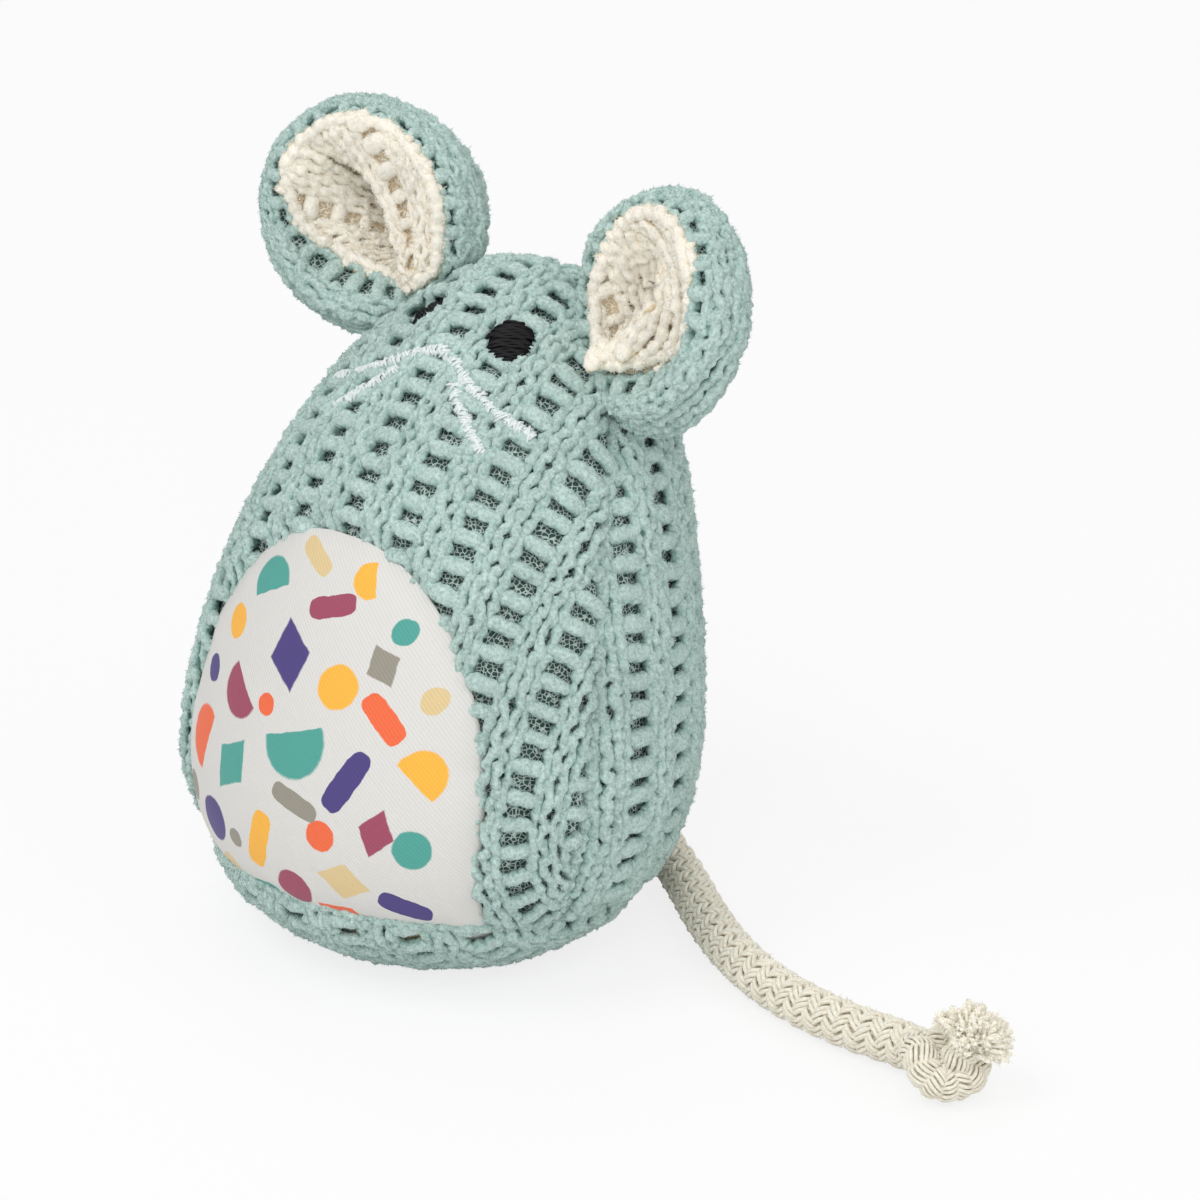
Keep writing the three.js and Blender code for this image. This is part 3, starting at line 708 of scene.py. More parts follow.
patch.update({"columns": 90, "rows": 110, "foot": 7.0, "tuck": 0.9, "pucker": 0.16, "thickness": 0.35,
              "twillPitch": 0.42})  # real ribs are 0.29 mm, drawn coarser so they show
motifs = {  # loose confetti: kind, across, up, half length, half width, turn in degrees (a dot: radius only)
    "#4b3e80": [("dot", -13.5, 13, 3.0), ("bar", 9.5, 24.8, 4.3, 1.6, 62), ("loz", -2.5, 38, 3.3, 4.6, 20),
                ("bar", 17, 8.8, 3.3, 1.5, -24), ("dot", -18, 31, 1.7), ("half", 2, 1.5, 3.0, 3.0, 160)],
    "#4ea398": [("half", 1.2, 28, 4.6, 4.6, 200), ("loz", -9.3, 22, 3.0, 4.3, -30), ("dot", 18.8, 17.3, 2.5),
                ("bar", -5.5, 5.3, 4.0, 1.5, 12), ("half", -9.5, 45, 3.4, 3.4, 30), ("dot", 12.5, 44, 1.7)],
    "#f36b3f": [("half", -17, 22.5, 4.0, 4.0, 75), ("dot", 6.7, 17.3, 2.0),
                ("bar", 12.8, 33.2, 3.7, 1.5, -42), ("loz", 8, 4.8, 3.1, 3.9, 55), ("dot", -4.4, 31.2, 1.4),
                ("bar", -15.5, 1.5, 3.4, 1.4, 30)],
    "#fbb840": [("bar", -3.3, 14, 4.2, 1.6, 74), ("dot", 5.8, 36, 2.8), ("half", 18.8, 26.5, 3.4, 3.4, -40),
                ("loz", -19.3, 6.5, 2.7, 3.5, 10), ("dot", -14.6, 38.3, 2.1),
                ("half", 6, 49.5, 2.4, 2.4, 110)],
    "#a04862": [("dot", 1.8, 8.6, 2.6), ("half", -9.8, 31.3, 3.5, 3.5, 140), ("bar", 1.8, 45.3, 3.4, 1.4, 20),
                ("loz", 14.2, 19, 2.4, 3.3, -15), ("dot", 20.5, 3.5, 2.2)],
    "#989286": [("bar", 2.6, 20.7, 3.6, 1.3, -18), ("dot", -20.7, 14.6, 2.0), ("loz", 11, 39.6, 2.2, 3.0, 35),
                ("dot", -8.2, 12.4, 1.3)],
    "#e0c794": [("loz", 9.6, 11.6, 2.7, 3.6, 80), ("dot", -11.3, 6.6, 2.1), ("bar", -3, 50.5, 3.0, 1.3, -30),
                ("half", 14.8, 2.6, 2.8, 2.8, 10), ("dot", 18.5, 36, 1.8)],
}


def motifShape(tree, kind, spot):  # under 1 inside the shape
    if kind in ("dot", "half"):
        shape = addNode(tree, "VectorMath", {0: spot}, "Value", operation="LENGTH")
        if kind == "dot":
            return shape
        cut = addNode(tree, "VectorMath", {0: spot, 1: (0, -3.5, 0)}, "Value", operation="DOT_PRODUCT")
        return addNode(tree, "Math", {0: shape, 1: cut}, operation="MAXIMUM")
    power = 1 if kind == "loz" else 4
    plain = addNode(tree, "VectorMath", {0: spot}, operation="ABSOLUTE")
    bent = addNode(tree, "VectorMath", {0: plain, 1: (power, power, 1)}, operation="POWER")
    return addNode(tree, "VectorMath", {0: bent, 1: (1, 1, 0)}, "Value", operation="DOT_PRODUCT")


def printedTwill(name, ground):  # woven polyester: fine diagonal ribs, flat inks printed on white
    material, tree, shader = newMaterial(name)
    place = addNode(tree, "UVMap", {}, uv_map="cloth")
    ribs = {"Scale": 0.444 / (patch["twillPitch"] * mm), "Distortion": 0.6, "Detail": 1.0,
            "Detail Scale": 6.0}
    lines = addNode(tree, "TexWave", {"Vector": place, **ribs}, "Fac",
                    wave_type="BANDS", bands_direction="DIAGONAL")
    wobble = addNoise(tree, place, 1.6, "Color", Detail=3.0)
    bleed = addNode(tree, "VectorMath", {0: wobble, 1: (0.5 * mm, 0.5 * mm, 0), 2: place},
                    operation="MULTIPLY_ADD")
    colour = hexColour(ground)
    for code, shapes in motifs.items():
        nearest = None
        for kind, across, up, length, *more in shapes:
            width, turn = more or (length, 0)
            spot = addNode(tree, "Mapping", {
                "Vector": bleed, "Location": (across * mm, up * mm, 0), "Rotation": (0, 0, np.radians(turn)),
                "Scale": (length * mm, width * mm, 1)}, vector_type="TEXTURE")
            shape = motifShape(tree, kind, spot)
            if nearest is not None:
                shape = addNode(tree, "Math", {0: nearest, 1: shape}, operation="MINIMUM")
            nearest = shape
        colour = addMix(tree, remap(tree, nearest, (0.96, 1.04), (1.0, 0.0)), colour, hexColour(code))
    # painted shade in the grooves between the twill ribs
    shade = remap(tree, lines, (0.0, 1.0), (0.93, 1.02))
    tint = addNode(tree, "VectorMath", {"Vector": colour, "Scale": shade}, operation="SCALE")
    bump = addNode(tree, "Bump", {"Height": lines, "Strength": 0.35, "Distance": 0.08 * mm})
    plug(tree, shader, {"Base Color": tint, "Normal": bump, "Roughness": 0.7, "Sheen Weight": 0.1})
    return material


def patchAt(across, z):  # across runs from -1 to 1 between the two side edges
    half = np.maximum(patchHalfAt(z), 0.2) + patch["tuck"]
    x = across * half
    angle = np.arcsin(np.clip(x / (body["halfWidth"] * shareAt(z)), -1, 1))
    skin, out = skinAt(angle, z), skinOut(angle, z)
    edge = np.minimum(-patchGap(skin), baseGap(skin))
    sink = patch["sink"] + (patch["edgeSink"] - patch["sink"]) * (1 - smooth((edge + 1) / 3.5))
    along = np.stack([skin[..., 0] * 0.4, skin[..., 2] * 0.4, 0 * z], axis=-1).reshape(-1, 3)
    folds = lumps(along, 1.5, 5).reshape(z.shape) * (1 - smooth(edge / 6))
    return skin - out * (sink + patch["pucker"] * folds)[..., None]


rise = np.sin(np.pi / 2 * np.linspace(0, 1, patch["rows"]))
levels = patch["foot"] + (patch["shoulder"] + patch["rise"] - patch["foot"]) * rise
across, z = np.meshgrid(np.linspace(-1, 1, patch["columns"]), levels)
sheet = patchAt(across, z)
twill = printedTwill("white printed polyester twill", "#dddbd7")
patchPiece = sheetPiece("bellyPatch", sheet, twill)
upArc = walkAlong(sheet[:, patch["columns"] // 2])
acrossArc = np.cumsum(np.linalg.norm(np.diff(sheet, axis=1, prepend=sheet[:, :1]), axis=2), axis=1)
acrossArc = acrossArc - acrossArc[:, patch["columns"] // 2][:, None]
uvs = np.stack([acrossArc, np.broadcast_to(upArc[:, None], acrossArc.shape)], axis=-1).reshape(-1, 2) * mm
layer = patchPiece.data.uv_layers.new(name="cloth")
corners = np.empty(len(patchPiece.data.loops), dtype=np.int32)
patchPiece.data.loops.foreach_get("vertex_index", corners)
layer.data.foreach_set("uv", uvs[corners].astype(np.float32).ravel())
closeUp(patchPiece, merge=False, fill=False)
applyModifier(patchPiece, "SOLIDIFY", thickness=patch["thickness"] * mm, offset=-1.0)
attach(patchPiece, "torso")
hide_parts("belly_patch")


# Face: satin stitched eyes, whiskers and nose sunk in the pile

satin = {"threadRadius": 0.24, "threadPitch": 0.33, "eyeCrown": 0.35, "ragged": 0.42, "waver": 0.09,
         "uneven": 0.13, "follow": 0.9, "endLength": 0.5, "endSink": 0.6, "whiskerPitch": 0.2,
         "whiskerLift": -0.22, "whiskerUneven": 0.22, "whiskerRadius": 0.19, "slant": 0.5}
for name, node, (angle, z, _, eyeLift) in zip(("eyeLeftStitch", "eyeRightStitch"), ("eye_left", "eye_right"),
                                              face["eyes"]):
    angle, z = np.radians(angle), np.array(z)
    spot, out = skinAt(angle, z), skinOut(angle, z)
    across = unit(np.cross(np.array([0.0, 0.0, 1.0]), out))
    upward = np.cross(out, across)
    radius, tall = face["eyeRadius"], face["eyeTall"]
    store = newStore()
    rows = np.arange(-tall + 0.15, tall, satin["threadPitch"])
    ragged = draws(2 * len(rows), 61)
    for i, row in enumerate(rows):
        half = radius * np.sqrt(max(1 - (row / tall) ** 2, 0.02))
        start = -half - satin["ragged"] * ragged[2 * i]
        stop = half + satin["ragged"] * ragged[2 * i + 1]
        share = np.linspace(start, stop, 14)
        climb = row + satin["waver"] * np.sin(share * 2.6 + 2 * i)
        flat = spot + across * share[:, None] + upward * climb[:, None]
        dome = eyeLift + satin["eyeCrown"] * (1 - (share / radius) ** 2 - (row / tall) ** 2)
        line = flat + out * (dome - satin["follow"] * skinGap(flat) + satin["uneven"] * ragged[i])[:, None]
        ends = np.clip(np.minimum(share - start, stop - share) / satin["endLength"], 0.25, 1)
        addTube(store, line - out * (satin["endSink"] * (1 - ends))[:, None], np.tile(out, (14, 1)),
                satin["threadRadius"] * 0.9 * ends, satin["threadRadius"] * ends, 7, seed=i)
    around = np.linspace(0, 2 * np.pi, 33)
    rings = np.linspace(0, 1.02, 8)
    spread, turn = np.meshgrid(rings, around, indexing="ij")
    wide, high = radius * spread * np.cos(turn), tall * spread * np.sin(turn)
    pad = spot + (across * wide[..., None] + upward * high[..., None])
    lift = eyeLift - 0.1 + satin["eyeCrown"] * (1 - spread ** 2) - 0.5 * spread ** 8
    pad = pad + out * (lift - satin["follow"] * skinGap(pad))[..., None]
    # painted shade: the pad under the eye stitches is darker than the threads
    addGrid(store, pad, shadeAndTone=-0.6)
    piece = makePiece(name, store, blackThread)
    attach(piece, "torso")
    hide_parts(node)


def addSatinRow(store, line, out, seed):
    line, out = resample(line, satin["whiskerPitch"], out)
    along = tangents(line)
    across = np.cross(out, along)
    wild = draws(3 * len(line), seed)
    for i in range(len(line)):
        half = face["whiskerWidth"] * (0.8 + 0.35 * wild[3 * i])
        share = np.linspace(-1, 1, 7)[:, None]
        slant = satin["slant"] * (1 if i % 2 else -0.6) + 0.15 * wild[3 * i + 1]
        stitch = line[i] + (across[i] + along[i] * slant) * half * share
        lift = satin["whiskerLift"] + satin["whiskerUneven"] * wild[3 * i + 2] - 0.5 * share ** 2
        addTube(store, stitch + out[i] * lift, np.tile(out[i], (7, 1)), satin["whiskerRadius"],
                satin["whiskerRadius"], 6, seed=seed + i)


for i, (line, out) in enumerate(whiskerLines):
    row, side = ("upper", "lower")[i // 2], ("left", "right")[i % 2]
    store = newStore()
    addSatinRow(store, line, out, 80 + i)
    piece = makePiece("whisker" + side.title() + row.title() + "Stitch", store, whiteThread)
    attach(piece, "torso")
    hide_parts("whisker_" + side + "_" + row)
store = newStore()
noseLow = face["noseHeight"] - face["noseDrop"]
noseEnds = ((-13, noseLow), (0, face["noseHeight"]), (13, noseLow))
for ends in (noseEnds[:2], noseEnds[1:]):
    line, out = stitchLine(ends, 1, 20)
    addSatinRow(store, line, out, 97)
piece = makePiece("noseStitch", store, whiteThread)
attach(piece, "torso")
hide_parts("nose_stitch")
print("face stitched")


# Ears: knit cup turned over the rim, cream lining folded along a crease

ear = {"radius": 15.4, "centre": 11.0, "repeat": 8.8, "netInset": 1.6, "liningInset": 1.0, "liningRise": 0.7,
       "rootReach": 10.0, "wrap": 1.9, "hem": 0.7, "frontRoot": 0.7, "liningDive": 0.35, "plushShare": 0.7,
       "plushLength": 0.62, "outerStep": 0.25, "liningStep": 0.35, "foldWidth": 2.7, "foldPower": 1.4,
       "rootFade": 9, "standFrom": 1.5, "standFade": 7, "gatherFrom": 22, "gatherFade": 24,
       "rootGap": 0.6, "lap": 0.9,
       "profile": [(0, -8), (0.45, -7.44), (0.8, -4.8), (0.97, -0.8), (0.95, 1.8), (0.9, 3.8), (0.82, 5.0),
                   (0.72, 5.0), (0.6, 3.6), (0.48, 1.6), (0.38, 0.0)],
       "cup": [(0, -1.6), (0.2, -1.2), (0.38, 0.0), (0.48, 1.6), (0.6, 3.6), (0.72, 5.0), (0.82, 5.0),
               (0.9, 3.8)]}
ears = {  # crease runs from the root, edge is the lining's radius by angle, wales of a flap leave its foot
    "left": {"hinge": (16.501, 15.307, 75.5), "chord": (0.663, -0.348, -0.663), "up": (0.722, 0.062, 0.689),
             "crease": [(-0.4, -13), (-0.4, -9.7), (-0.3, -3.0), (-0.8, -1.3), (-1.3, 1.7), (-3.5, 2.2),
                        (-7.2, 2.8)],
             "hollow": 3.0, "stand": 4.4, "slack": 1.4, "seed": 611, "wide": 0.98, "tall": 0.98,
             "shift": -0.3, "lean": -0.06, "back": 0.72, "backRoot": 0.4,
             "rim": [(-180, 0.4), (-140, 0.5), (-95, 0.7), (-50, 0.8), (-20, 1.0), (45, 1.0),
                     (80, 0.65), (120, 0.5), (180, 0.4)],
             "edge": [(-180, 10.2), (-168, 9.8), (-144, 10.3), (-117, 10.2), (-90, 10.0), (-75, 10.0),
                      (-51, 7.8), (-25, 6.6), (0, 6.6), (30, 7.8), (50, 9.4), (72, 10.6), (92, 11.9),
                      (107, 12.5), (127, 12.6), (142, 12.3), (168, 10.8), (180, 10.2)],
             "flaps": [{"side": 1, "ring": (-4.5, -3.5), "aim": 9.9, "step": 8.3, "plain": (-1, 0, 1)},
                       {"side": -1, "foot": (2.5, -9.2), "aim": -68.5, "step": 27, "full": 11,
                        "plain": (-2, -1, 1, 2)}]},
    "right": {"hinge": (-16.501, 15.307, 75.5), "chord": (0.663, 0.348, 0.663), "up": (-0.722, 0.062, 0.689),
              "crease": [(-1.2, -13), (-1.1, -10.5), (0.2, -6.5), (0.8, -4.2), (2.8, 1.7), (1.7, 5.5),
                         (0.4, 9.5)],
              "hollow": 4.2, "stand": 3.6, "slack": 0.2, "seed": 811, "wide": 0.98, "tall": 1.07,
              "shift": 1.6, "lean": -0.06, "back": 1.6, "backRoot": 0.7,
              "rim": [(-180, 0.7), (-155, 1.0), (-92, 0.9), (-75, 0.4), (30, 0.42), (75, 0.5),
                      (140, 0.45), (180, 0.7)],
              "edge": [(-180, 7.2), (-148, 6.4), (-115, 7.2), (-96, 8.8), (-89, 12.2), (-67, 12.6),
                       (-43, 11.5), (-16, 12.0), (8, 12.6), (29, 12.9), (51, 12.9), (64, 12.6), (82, 11.6),
                       (107, 11.2), (127, 10.4), (153, 8.7), (180, 7.2)],
              "flaps": [{"side": 1, "foot": (-0.5, -18), "aim": 20, "step": 17.5, "full": 21,
                         "plain": (-2, -1, 1)},
                        {"side": -1, "foot": (3.4, -7.0), "aim": -37, "step": 25, "full": 15,
                         "plain": (-2, -1, 1, 2)}]},
}
smoothCorners = splineThrough(np.array(ear["profile"], float) * [ear["radius"], 1], 12)
profileArc = walkAlong(smoothCorners)
rim = int(np.argmax(smoothCorners[:, 0]))
cupCurve = splineThrough(np.array(ear["cup"], float) * [ear["radius"], 1], 8)


def earPlace(which, a, b, depth):
    hinge, chord, up = (np.array(which[key]) for key in ("hinge", "chord", "up"))
    low = np.where(depth > 0, ear["frontRoot"], which["backRoot"])
    thin = (low + (1 - low) * smooth(b / ear["rootReach"])) * np.where(depth > 0, 1, which["back"])
    a, b = a * which["wide"] + which["shift"] + which["lean"] * (b - ear["centre"]), b * which["tall"]
    return hinge + chord * a[..., None] + up * b[..., None] + np.cross(chord, up) * (depth * thin)[..., None]


def earSkin(which, p, q):  # flat disc wrapped over the back and round the rim
    r = np.minimum(np.hypot(p, q), profileArc[-1])
    turn = np.arctan2(q, p)
    spread = np.interp(r, profileArc, smoothCorners[:, 0])
    depth = np.interp(r, profileArc, smoothCorners[:, 1])
    a, b = polar(spread, turn)
    return earPlace(which, a, ear["centre"] + b, depth)


def surfaceAt(surface, which, p, q, step):  # points of a form, and the way off it
    alongP = surface(which, p + step, q) - surface(which, p - step, q)
    alongQ = surface(which, p, q + step) - surface(which, p, q - step)
    return surface(which, p, q), unit(np.cross(alongP, alongQ))


def polar(away, turn):
    return away * np.cos(turn), away * np.sin(turn)


def valueAt(stops, a, b):  # read off a list of angles in degrees
    stops = np.array(stops, float)
    return np.interp(np.degrees(np.arctan2(b, a)), stops[:, 0], stops[:, 1])


def liningEdge(which, a, b):
    return valueAt(which["edge"], a, b)


def rimStop(which, turn, under=0.0):  # where the wrapped knit meets the lining
    inner = liningEdge(which, np.cos(turn), np.sin(turn)) - under
    return np.interp(-inner, -smoothCorners[rim:, 0], profileArc[rim:])


def earLine(which):
    def lineAt(u):
        q = np.linspace(-profileArc[-1], profileArc[-1], 420)
        gather = smooth((q + ear["gatherFrom"]) / ear["gatherFade"])  # drawn in at the root
        p = ear["repeat"] * u * (0.3 + 0.7 * gather)
        line, inward = surfaceAt(earSkin, which, p, q, ear["outerStep"])
        inside = profileArc[rim] - ear["wrap"] + ear["lap"] - np.hypot(p, q)
        edge = np.minimum(inside, skinGap(line) + ear["rootGap"])
        return line, -inward, edge, 0.62 + 0.38 * gather
    return lineAt


def rimLine(which):  # wales that follow the rim, close together where the band is narrow
    def lineAt(u):
        turn = np.radians(np.linspace(-90, 270, 700))
        narrow = valueAt(which["rim"], np.cos(turn), np.sin(turn))
        r = rimStop(which, turn) - 0.3 - ear["repeat"] * narrow * (u + knit["rail"])
        p, q = polar(r, turn)
        line, inward = surfaceAt(earSkin, which, p, q, ear["outerStep"])
        inside = r - profileArc[rim] + ear["wrap"] + ear["lap"]
        edge = np.minimum(inside, skinGap(line) + ear["rootGap"])
        return line, -inward, edge, np.clip(0.6 + 0.45 * narrow, 0.5, 1.0)
    return lineAt


def creaseGap(which, a, b):  # distance past the crease, positive on the flap that stands, and share along it
    line = np.array(which["crease"], float)
    gap, share, walked = np.full(a.shape, 99.0), np.zeros(a.shape), 0.0
    for start, stop in zip(line[:-1], line[1:]):
        step = stop - start
        size = np.hypot(*step)
        awayA, awayB = a - start[0], b - start[1]
        part = np.clip((awayA * step[0] + awayB * step[1]) / size ** 2, 0, 1)
        apart = np.hypot(awayA - part * step[0], awayB - part * step[1])
        side = np.where(awayA * step[1] - awayB * step[0] > 0, 1, -1)
        nearer = apart < np.abs(gap)
        gap = np.where(nearer, apart * side, gap)
        share = np.where(nearer, walked + part * size, share)
        walked += size
    return gap, share / walked


def liningSkin(which, a, b):  # one side of the crease stands over the hollow on the other
    away = np.hypot(a, b)
    depth = np.interp(away, cupCurve[:, 0], cupCurve[:, 1]) + ear["liningRise"]
    gap, share = creaseGap(which, a, b)
    keep = (1 - smooth((share - 0.6) / 0.4)) * (1 - smooth((away / liningEdge(which, a, b) - 0.8) / 0.25))
    wall = np.abs((np.minimum(gap, 0) + 0.5) / ear["foldWidth"]) ** ear["foldPower"]
    hollow = -which["hollow"] * np.exp(-wall) * (1 - smooth((gap + 0.3) / 1.0))
    hollow = hollow * smooth((b + ear["centre"]) / ear["rootFade"])  # shallow at the root
    stand = which["stand"] * smooth((gap + 0.4) / 1.2)
    stand = stand * (1 - smooth((gap - ear["standFrom"]) / ear["standFade"]))
    return earPlace(which, a, b + ear["centre"], depth + keep * (hollow + stand))


def liningLine(which, flap):
    def lineAt(u):
        if "ring" in flap:  # wales that follow round the hollow
            turn = np.radians(np.linspace(-95, 175, 420))
            away = flap["aim"] + flap["step"] * u
            a, b = flap["ring"][0] + away * np.cos(turn), flap["ring"][1] + away * np.sin(turn)
            grow = np.full(420, 1.0)
        else:
            turn = np.radians(flap["aim"] - flap["step"] * u)
            away = np.linspace(2, 33, 420)
            a, b = flap["foot"][0] + away * np.sin(turn), flap["foot"][1] + away * np.cos(turn)
            grow = np.clip((away / flap["full"]) ** 0.8, 0.5, 1.2)
        line, out = surfaceAt(liningSkin, which, a, b, ear["liningStep"])
        edge = liningEdge(which, a, b) - 0.1 - np.hypot(a, b)
        over = flap["side"] * creaseGap(which, a, b)[0] + (0.3 if flap["side"] > 0 else 1.2)
        return line, out, np.minimum(edge, over), grow
    return lineAt


for side, which in ears.items():
    bodyName, title = "ear_" + side, "ear" + side.title()
    store = newStore()
    knitPanel(store, earLine(which), -4, 3, 0.5, which["seed"])
    knitPanel(store, rimLine(which), 0, 1, 0.0, which["seed"] + 30, (1,))
    addFuzz(store, knit["fuzzShare"], knit["fuzzLength"], which["seed"])
    outer = makePiece(title + "Knit", store, tealChenille)
    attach(outer, bodyName)
    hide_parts("ear_" + side + "_outer")
    store = newStore()
    for order, flap in enumerate(which["flaps"]):
        knitPanel(store, liningLine(which, flap), -2, 2, 0.0, which["seed"] + 50 + 90 * order, flap["plain"],
                  ear["liningDive"])
    turn = np.radians(np.linspace(-180, 180, 400))
    away = liningEdge(which, np.cos(turn), np.sin(turn)) - ear["hem"]
    a, b = polar(away, turn)
    line, out = surfaceAt(liningSkin, which, a, b, ear["liningStep"])
    addCord(store, line, out, knit["seamRadius"], knit["ribLift"], np.full(400, 9.0), np.full(400, 0.95),
            which["seed"] + 7)
    addFuzz(store, knit["fuzzShare"], knit["fuzzLength"], which["seed"])
    addFuzz(store, ear["plushShare"], ear["plushLength"], which["seed"] + 3)  # deeper pile than the body's
    lining = makePiece(title + "Lining", store, creamChenille)
    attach(lining, bodyName)
    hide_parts("ear_" + side + "_lining")
    share, turn = np.meshgrid(np.linspace(0.002, 1, 70), np.linspace(0, 2 * np.pi, 73), indexing="ij")
    stop = rimStop(which, turn, 0.4)  # ends under the lining
    shell, inward = surfaceAt(earSkin, which, *polar(share * stop, turn), ear["outerStep"])
    backing = sheetPiece(title + "Net", shell + inward * ear["netInset"], greenNet)
    closeUp(backing, fill=False)
    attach(backing, bodyName)
    share, turn = np.meshgrid(np.linspace(0.01, 1.0, 70), np.linspace(-np.pi, np.pi, 121), indexing="ij")
    away = share * liningEdge(which, np.cos(turn), np.sin(turn))
    a, b = polar(away, turn)
    slack = dict(which, stand=which["stand"] - which["slack"])  # the net hangs back behind the fold
    ground, out = surfaceAt(liningSkin, slack, a, b, ear["liningStep"])
    under = sheetPiece(title + "LiningNet", ground - out * ear["liningInset"], tanNet, flip=True)
    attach(under, bodyName)
print("ears made")


# Tail: twelve-strand braid with three yarns to a strand, knotted and frayed at the end

tail = {"route": [(0, 16, 9), (0, 21, 9), (0, 25.4, 9), (0.8, 28.4, 8.7), (3.3, 30.4, 7.7), (7, 30.8, 6.2),
                  (12.4, 29.2, 4.4), (18.5, 26, 3.3), (24.4, 21.9, 3.15), (30.6, 17.3, 3.15),
                  (38.7, 12.2, 3.15), (46.7, 8.5, 3.15), (54.6, 6.4, 3.15), (62.4, 5.6, 3.15),
                  (70.7, 5.9, 3.15), (76.5, 4.8, 3.6)],
        "ropeFrom": 27.2, "rootTo": 29.9, "radius": 3.0, "pitch": 19.0, "strands": 6, "yarns": 3,
        "yarnRadius": 0.33, "yarnGap": 0.52, "weave": 0.36, "weaveFlat": 1.4, "spacing": 0.4, "sides": 6,
        "strandRound": 0.1, "yarnFan": 1.3, "coreGap": 0.3, "lump": 0.05, "lumpCell": 0.5, "floorLift": 0.05,
        "fuzzShare": 0.1, "fuzzLength": 0.55, "knotCentre": (78.6, 4.2, 4.5), "knotRadius": 2.35,
        "tuftYarns": 340, "tuftBunches": 13, "tuftTurn": 2.39996, "tuftLength": 5.6, "tuftFlare": 4.7,
        "tuftOpen": 1.9, "tuftNeck": 1.4, "tuftScatter": 0.24, "tuftCurl": 0.5, "tuftYarnRadius": 0.36,
        "tuftFuzzShare": 0.5, "tuftFuzzLength": 0.9}


def carryFrame(line):  # a frame that follows the line without twisting
    along = tangents(line)
    out = np.empty_like(line)
    start = np.array([0.0, 0.0, 1.0])
    for i, forward in enumerate(along):
        start = start - forward * (start @ forward)
        start = start / np.linalg.norm(start)
        out[i] = start
    return out, np.cross(along, out)


def addBraid(store, line, radius, seed):
    line = resample(line, tail["spacing"])[0]
    out, across = carryFrame(line)
    s = np.arange(len(line)) * tail["spacing"]
    reach = radius - tail["yarnRadius"] - tail["weave"]
    scale = radius / tail["radius"]
    half = tail["strands"]
    step = 2 * half * s / tail["pitch"]
    for way in (1, -1):
        for strand in range(half):
            over = way * np.cos(np.pi * step)
            for yarn in range(tail["yarns"]):
                away = yarn - (tail["yarns"] - 1) / 2
                shift = away * tail["yarnGap"] * scale * tail["yarnFan"] / reach
                turn = way * 2 * np.pi * s / tail["pitch"] + 2 * np.pi * strand / half + shift
                spoke = out * np.cos(turn)[:, None] + across * np.sin(turn)[:, None]
                height = reach + tail["weave"] * np.clip(tail["weaveFlat"] * over, -1, 1)
                height = height - tail["strandRound"] * away ** 2
                addTube(store, line + spoke * height[:, None], spoke, tail["yarnRadius"] * 0.95 * scale,
                        tail["yarnRadius"] * scale, tail["sides"], shadeAndTone=0.12 * np.sin(strand * 2.3 + way),
                        lumpSize=tail["lump"], lumpCell=tail["lumpCell"], seed=seed + yarn)
    # painted shade: the core inside the braid is darker
    core = reach - tail["coreGap"]
    addTube(store, line, out, core, core, 14, shadeAndTone=-0.4)


routeLine = resample(splineThrough(tail["route"], 14), 0.6)[0]
rootLine = routeLine[:int(np.argmax(routeLine[:, 1] > tail["rootTo"]))]  # the root laps the start of the rope
routeLine = routeLine[int(np.argmax(routeLine[:, 1] > tail["ropeFrom"])):]
store = newStore()
addBraid(store, rootLine, tail["radius"], 31)
tailRoot = makePiece("tailRoot", store, cottonYarn)
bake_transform(tailRoot)
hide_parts("tail_root")
store = newStore()
addBraid(store, routeLine, tail["radius"], 37)
restOnFloor(store, tail["floorLift"])
addFuzz(store, tail["fuzzShare"], tail["fuzzLength"], 41)
tailRope = makePiece("tailRope", store, cottonYarn)
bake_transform(tailRope)
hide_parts("tail_rope_near", "tail_rope_far")
print("tail braided")

knotCentre = np.array(tail["knotCentre"])
knotRight = np.array([0.743, 0.669, 0.0])  # right, up and towards the eye as the photo sees it
knotUp = np.array([-0.262, 0.2905, 0.9205])
knotFront = np.array([0.616, -0.684, 0.391])
knotTurns = [(-2.9, 0.6, -4.3), (-3.8, 1.2, -1.5), (-3.5, 0.4, 1.3), (-2.7, -1.7, 2.2), (-0.4, -2.8, 1.8),
             (2.5, -1.8, 0.6), (2.9, 0.6, -1.2), (0.8, 2.2, -2.2), (-1.8, 1.0, -2.4), (-1.6, -1.2, -1.0),
             (0.3, -0.5, 1.0), (1.7, 1.2, 1.5), (2.5, 2.6, 1.0)]
knotPoints = [knotCentre + knotRight * x + knotUp * y + knotFront * z for x, y, z in knotTurns]
knotLine = splineThrough(knotPoints, 16)
store = newStore()
addBraid(store, knotLine, tail["knotRadius"], 43)
restOnFloor(store, tail["floorLift"])
addFuzz(store, tail["fuzzShare"], tail["fuzzLength"], 47)
tailKnot = makePiece("tailKnot", store, cottonYarn)
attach(tailKnot, "tail_far")
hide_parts("tail_knot")

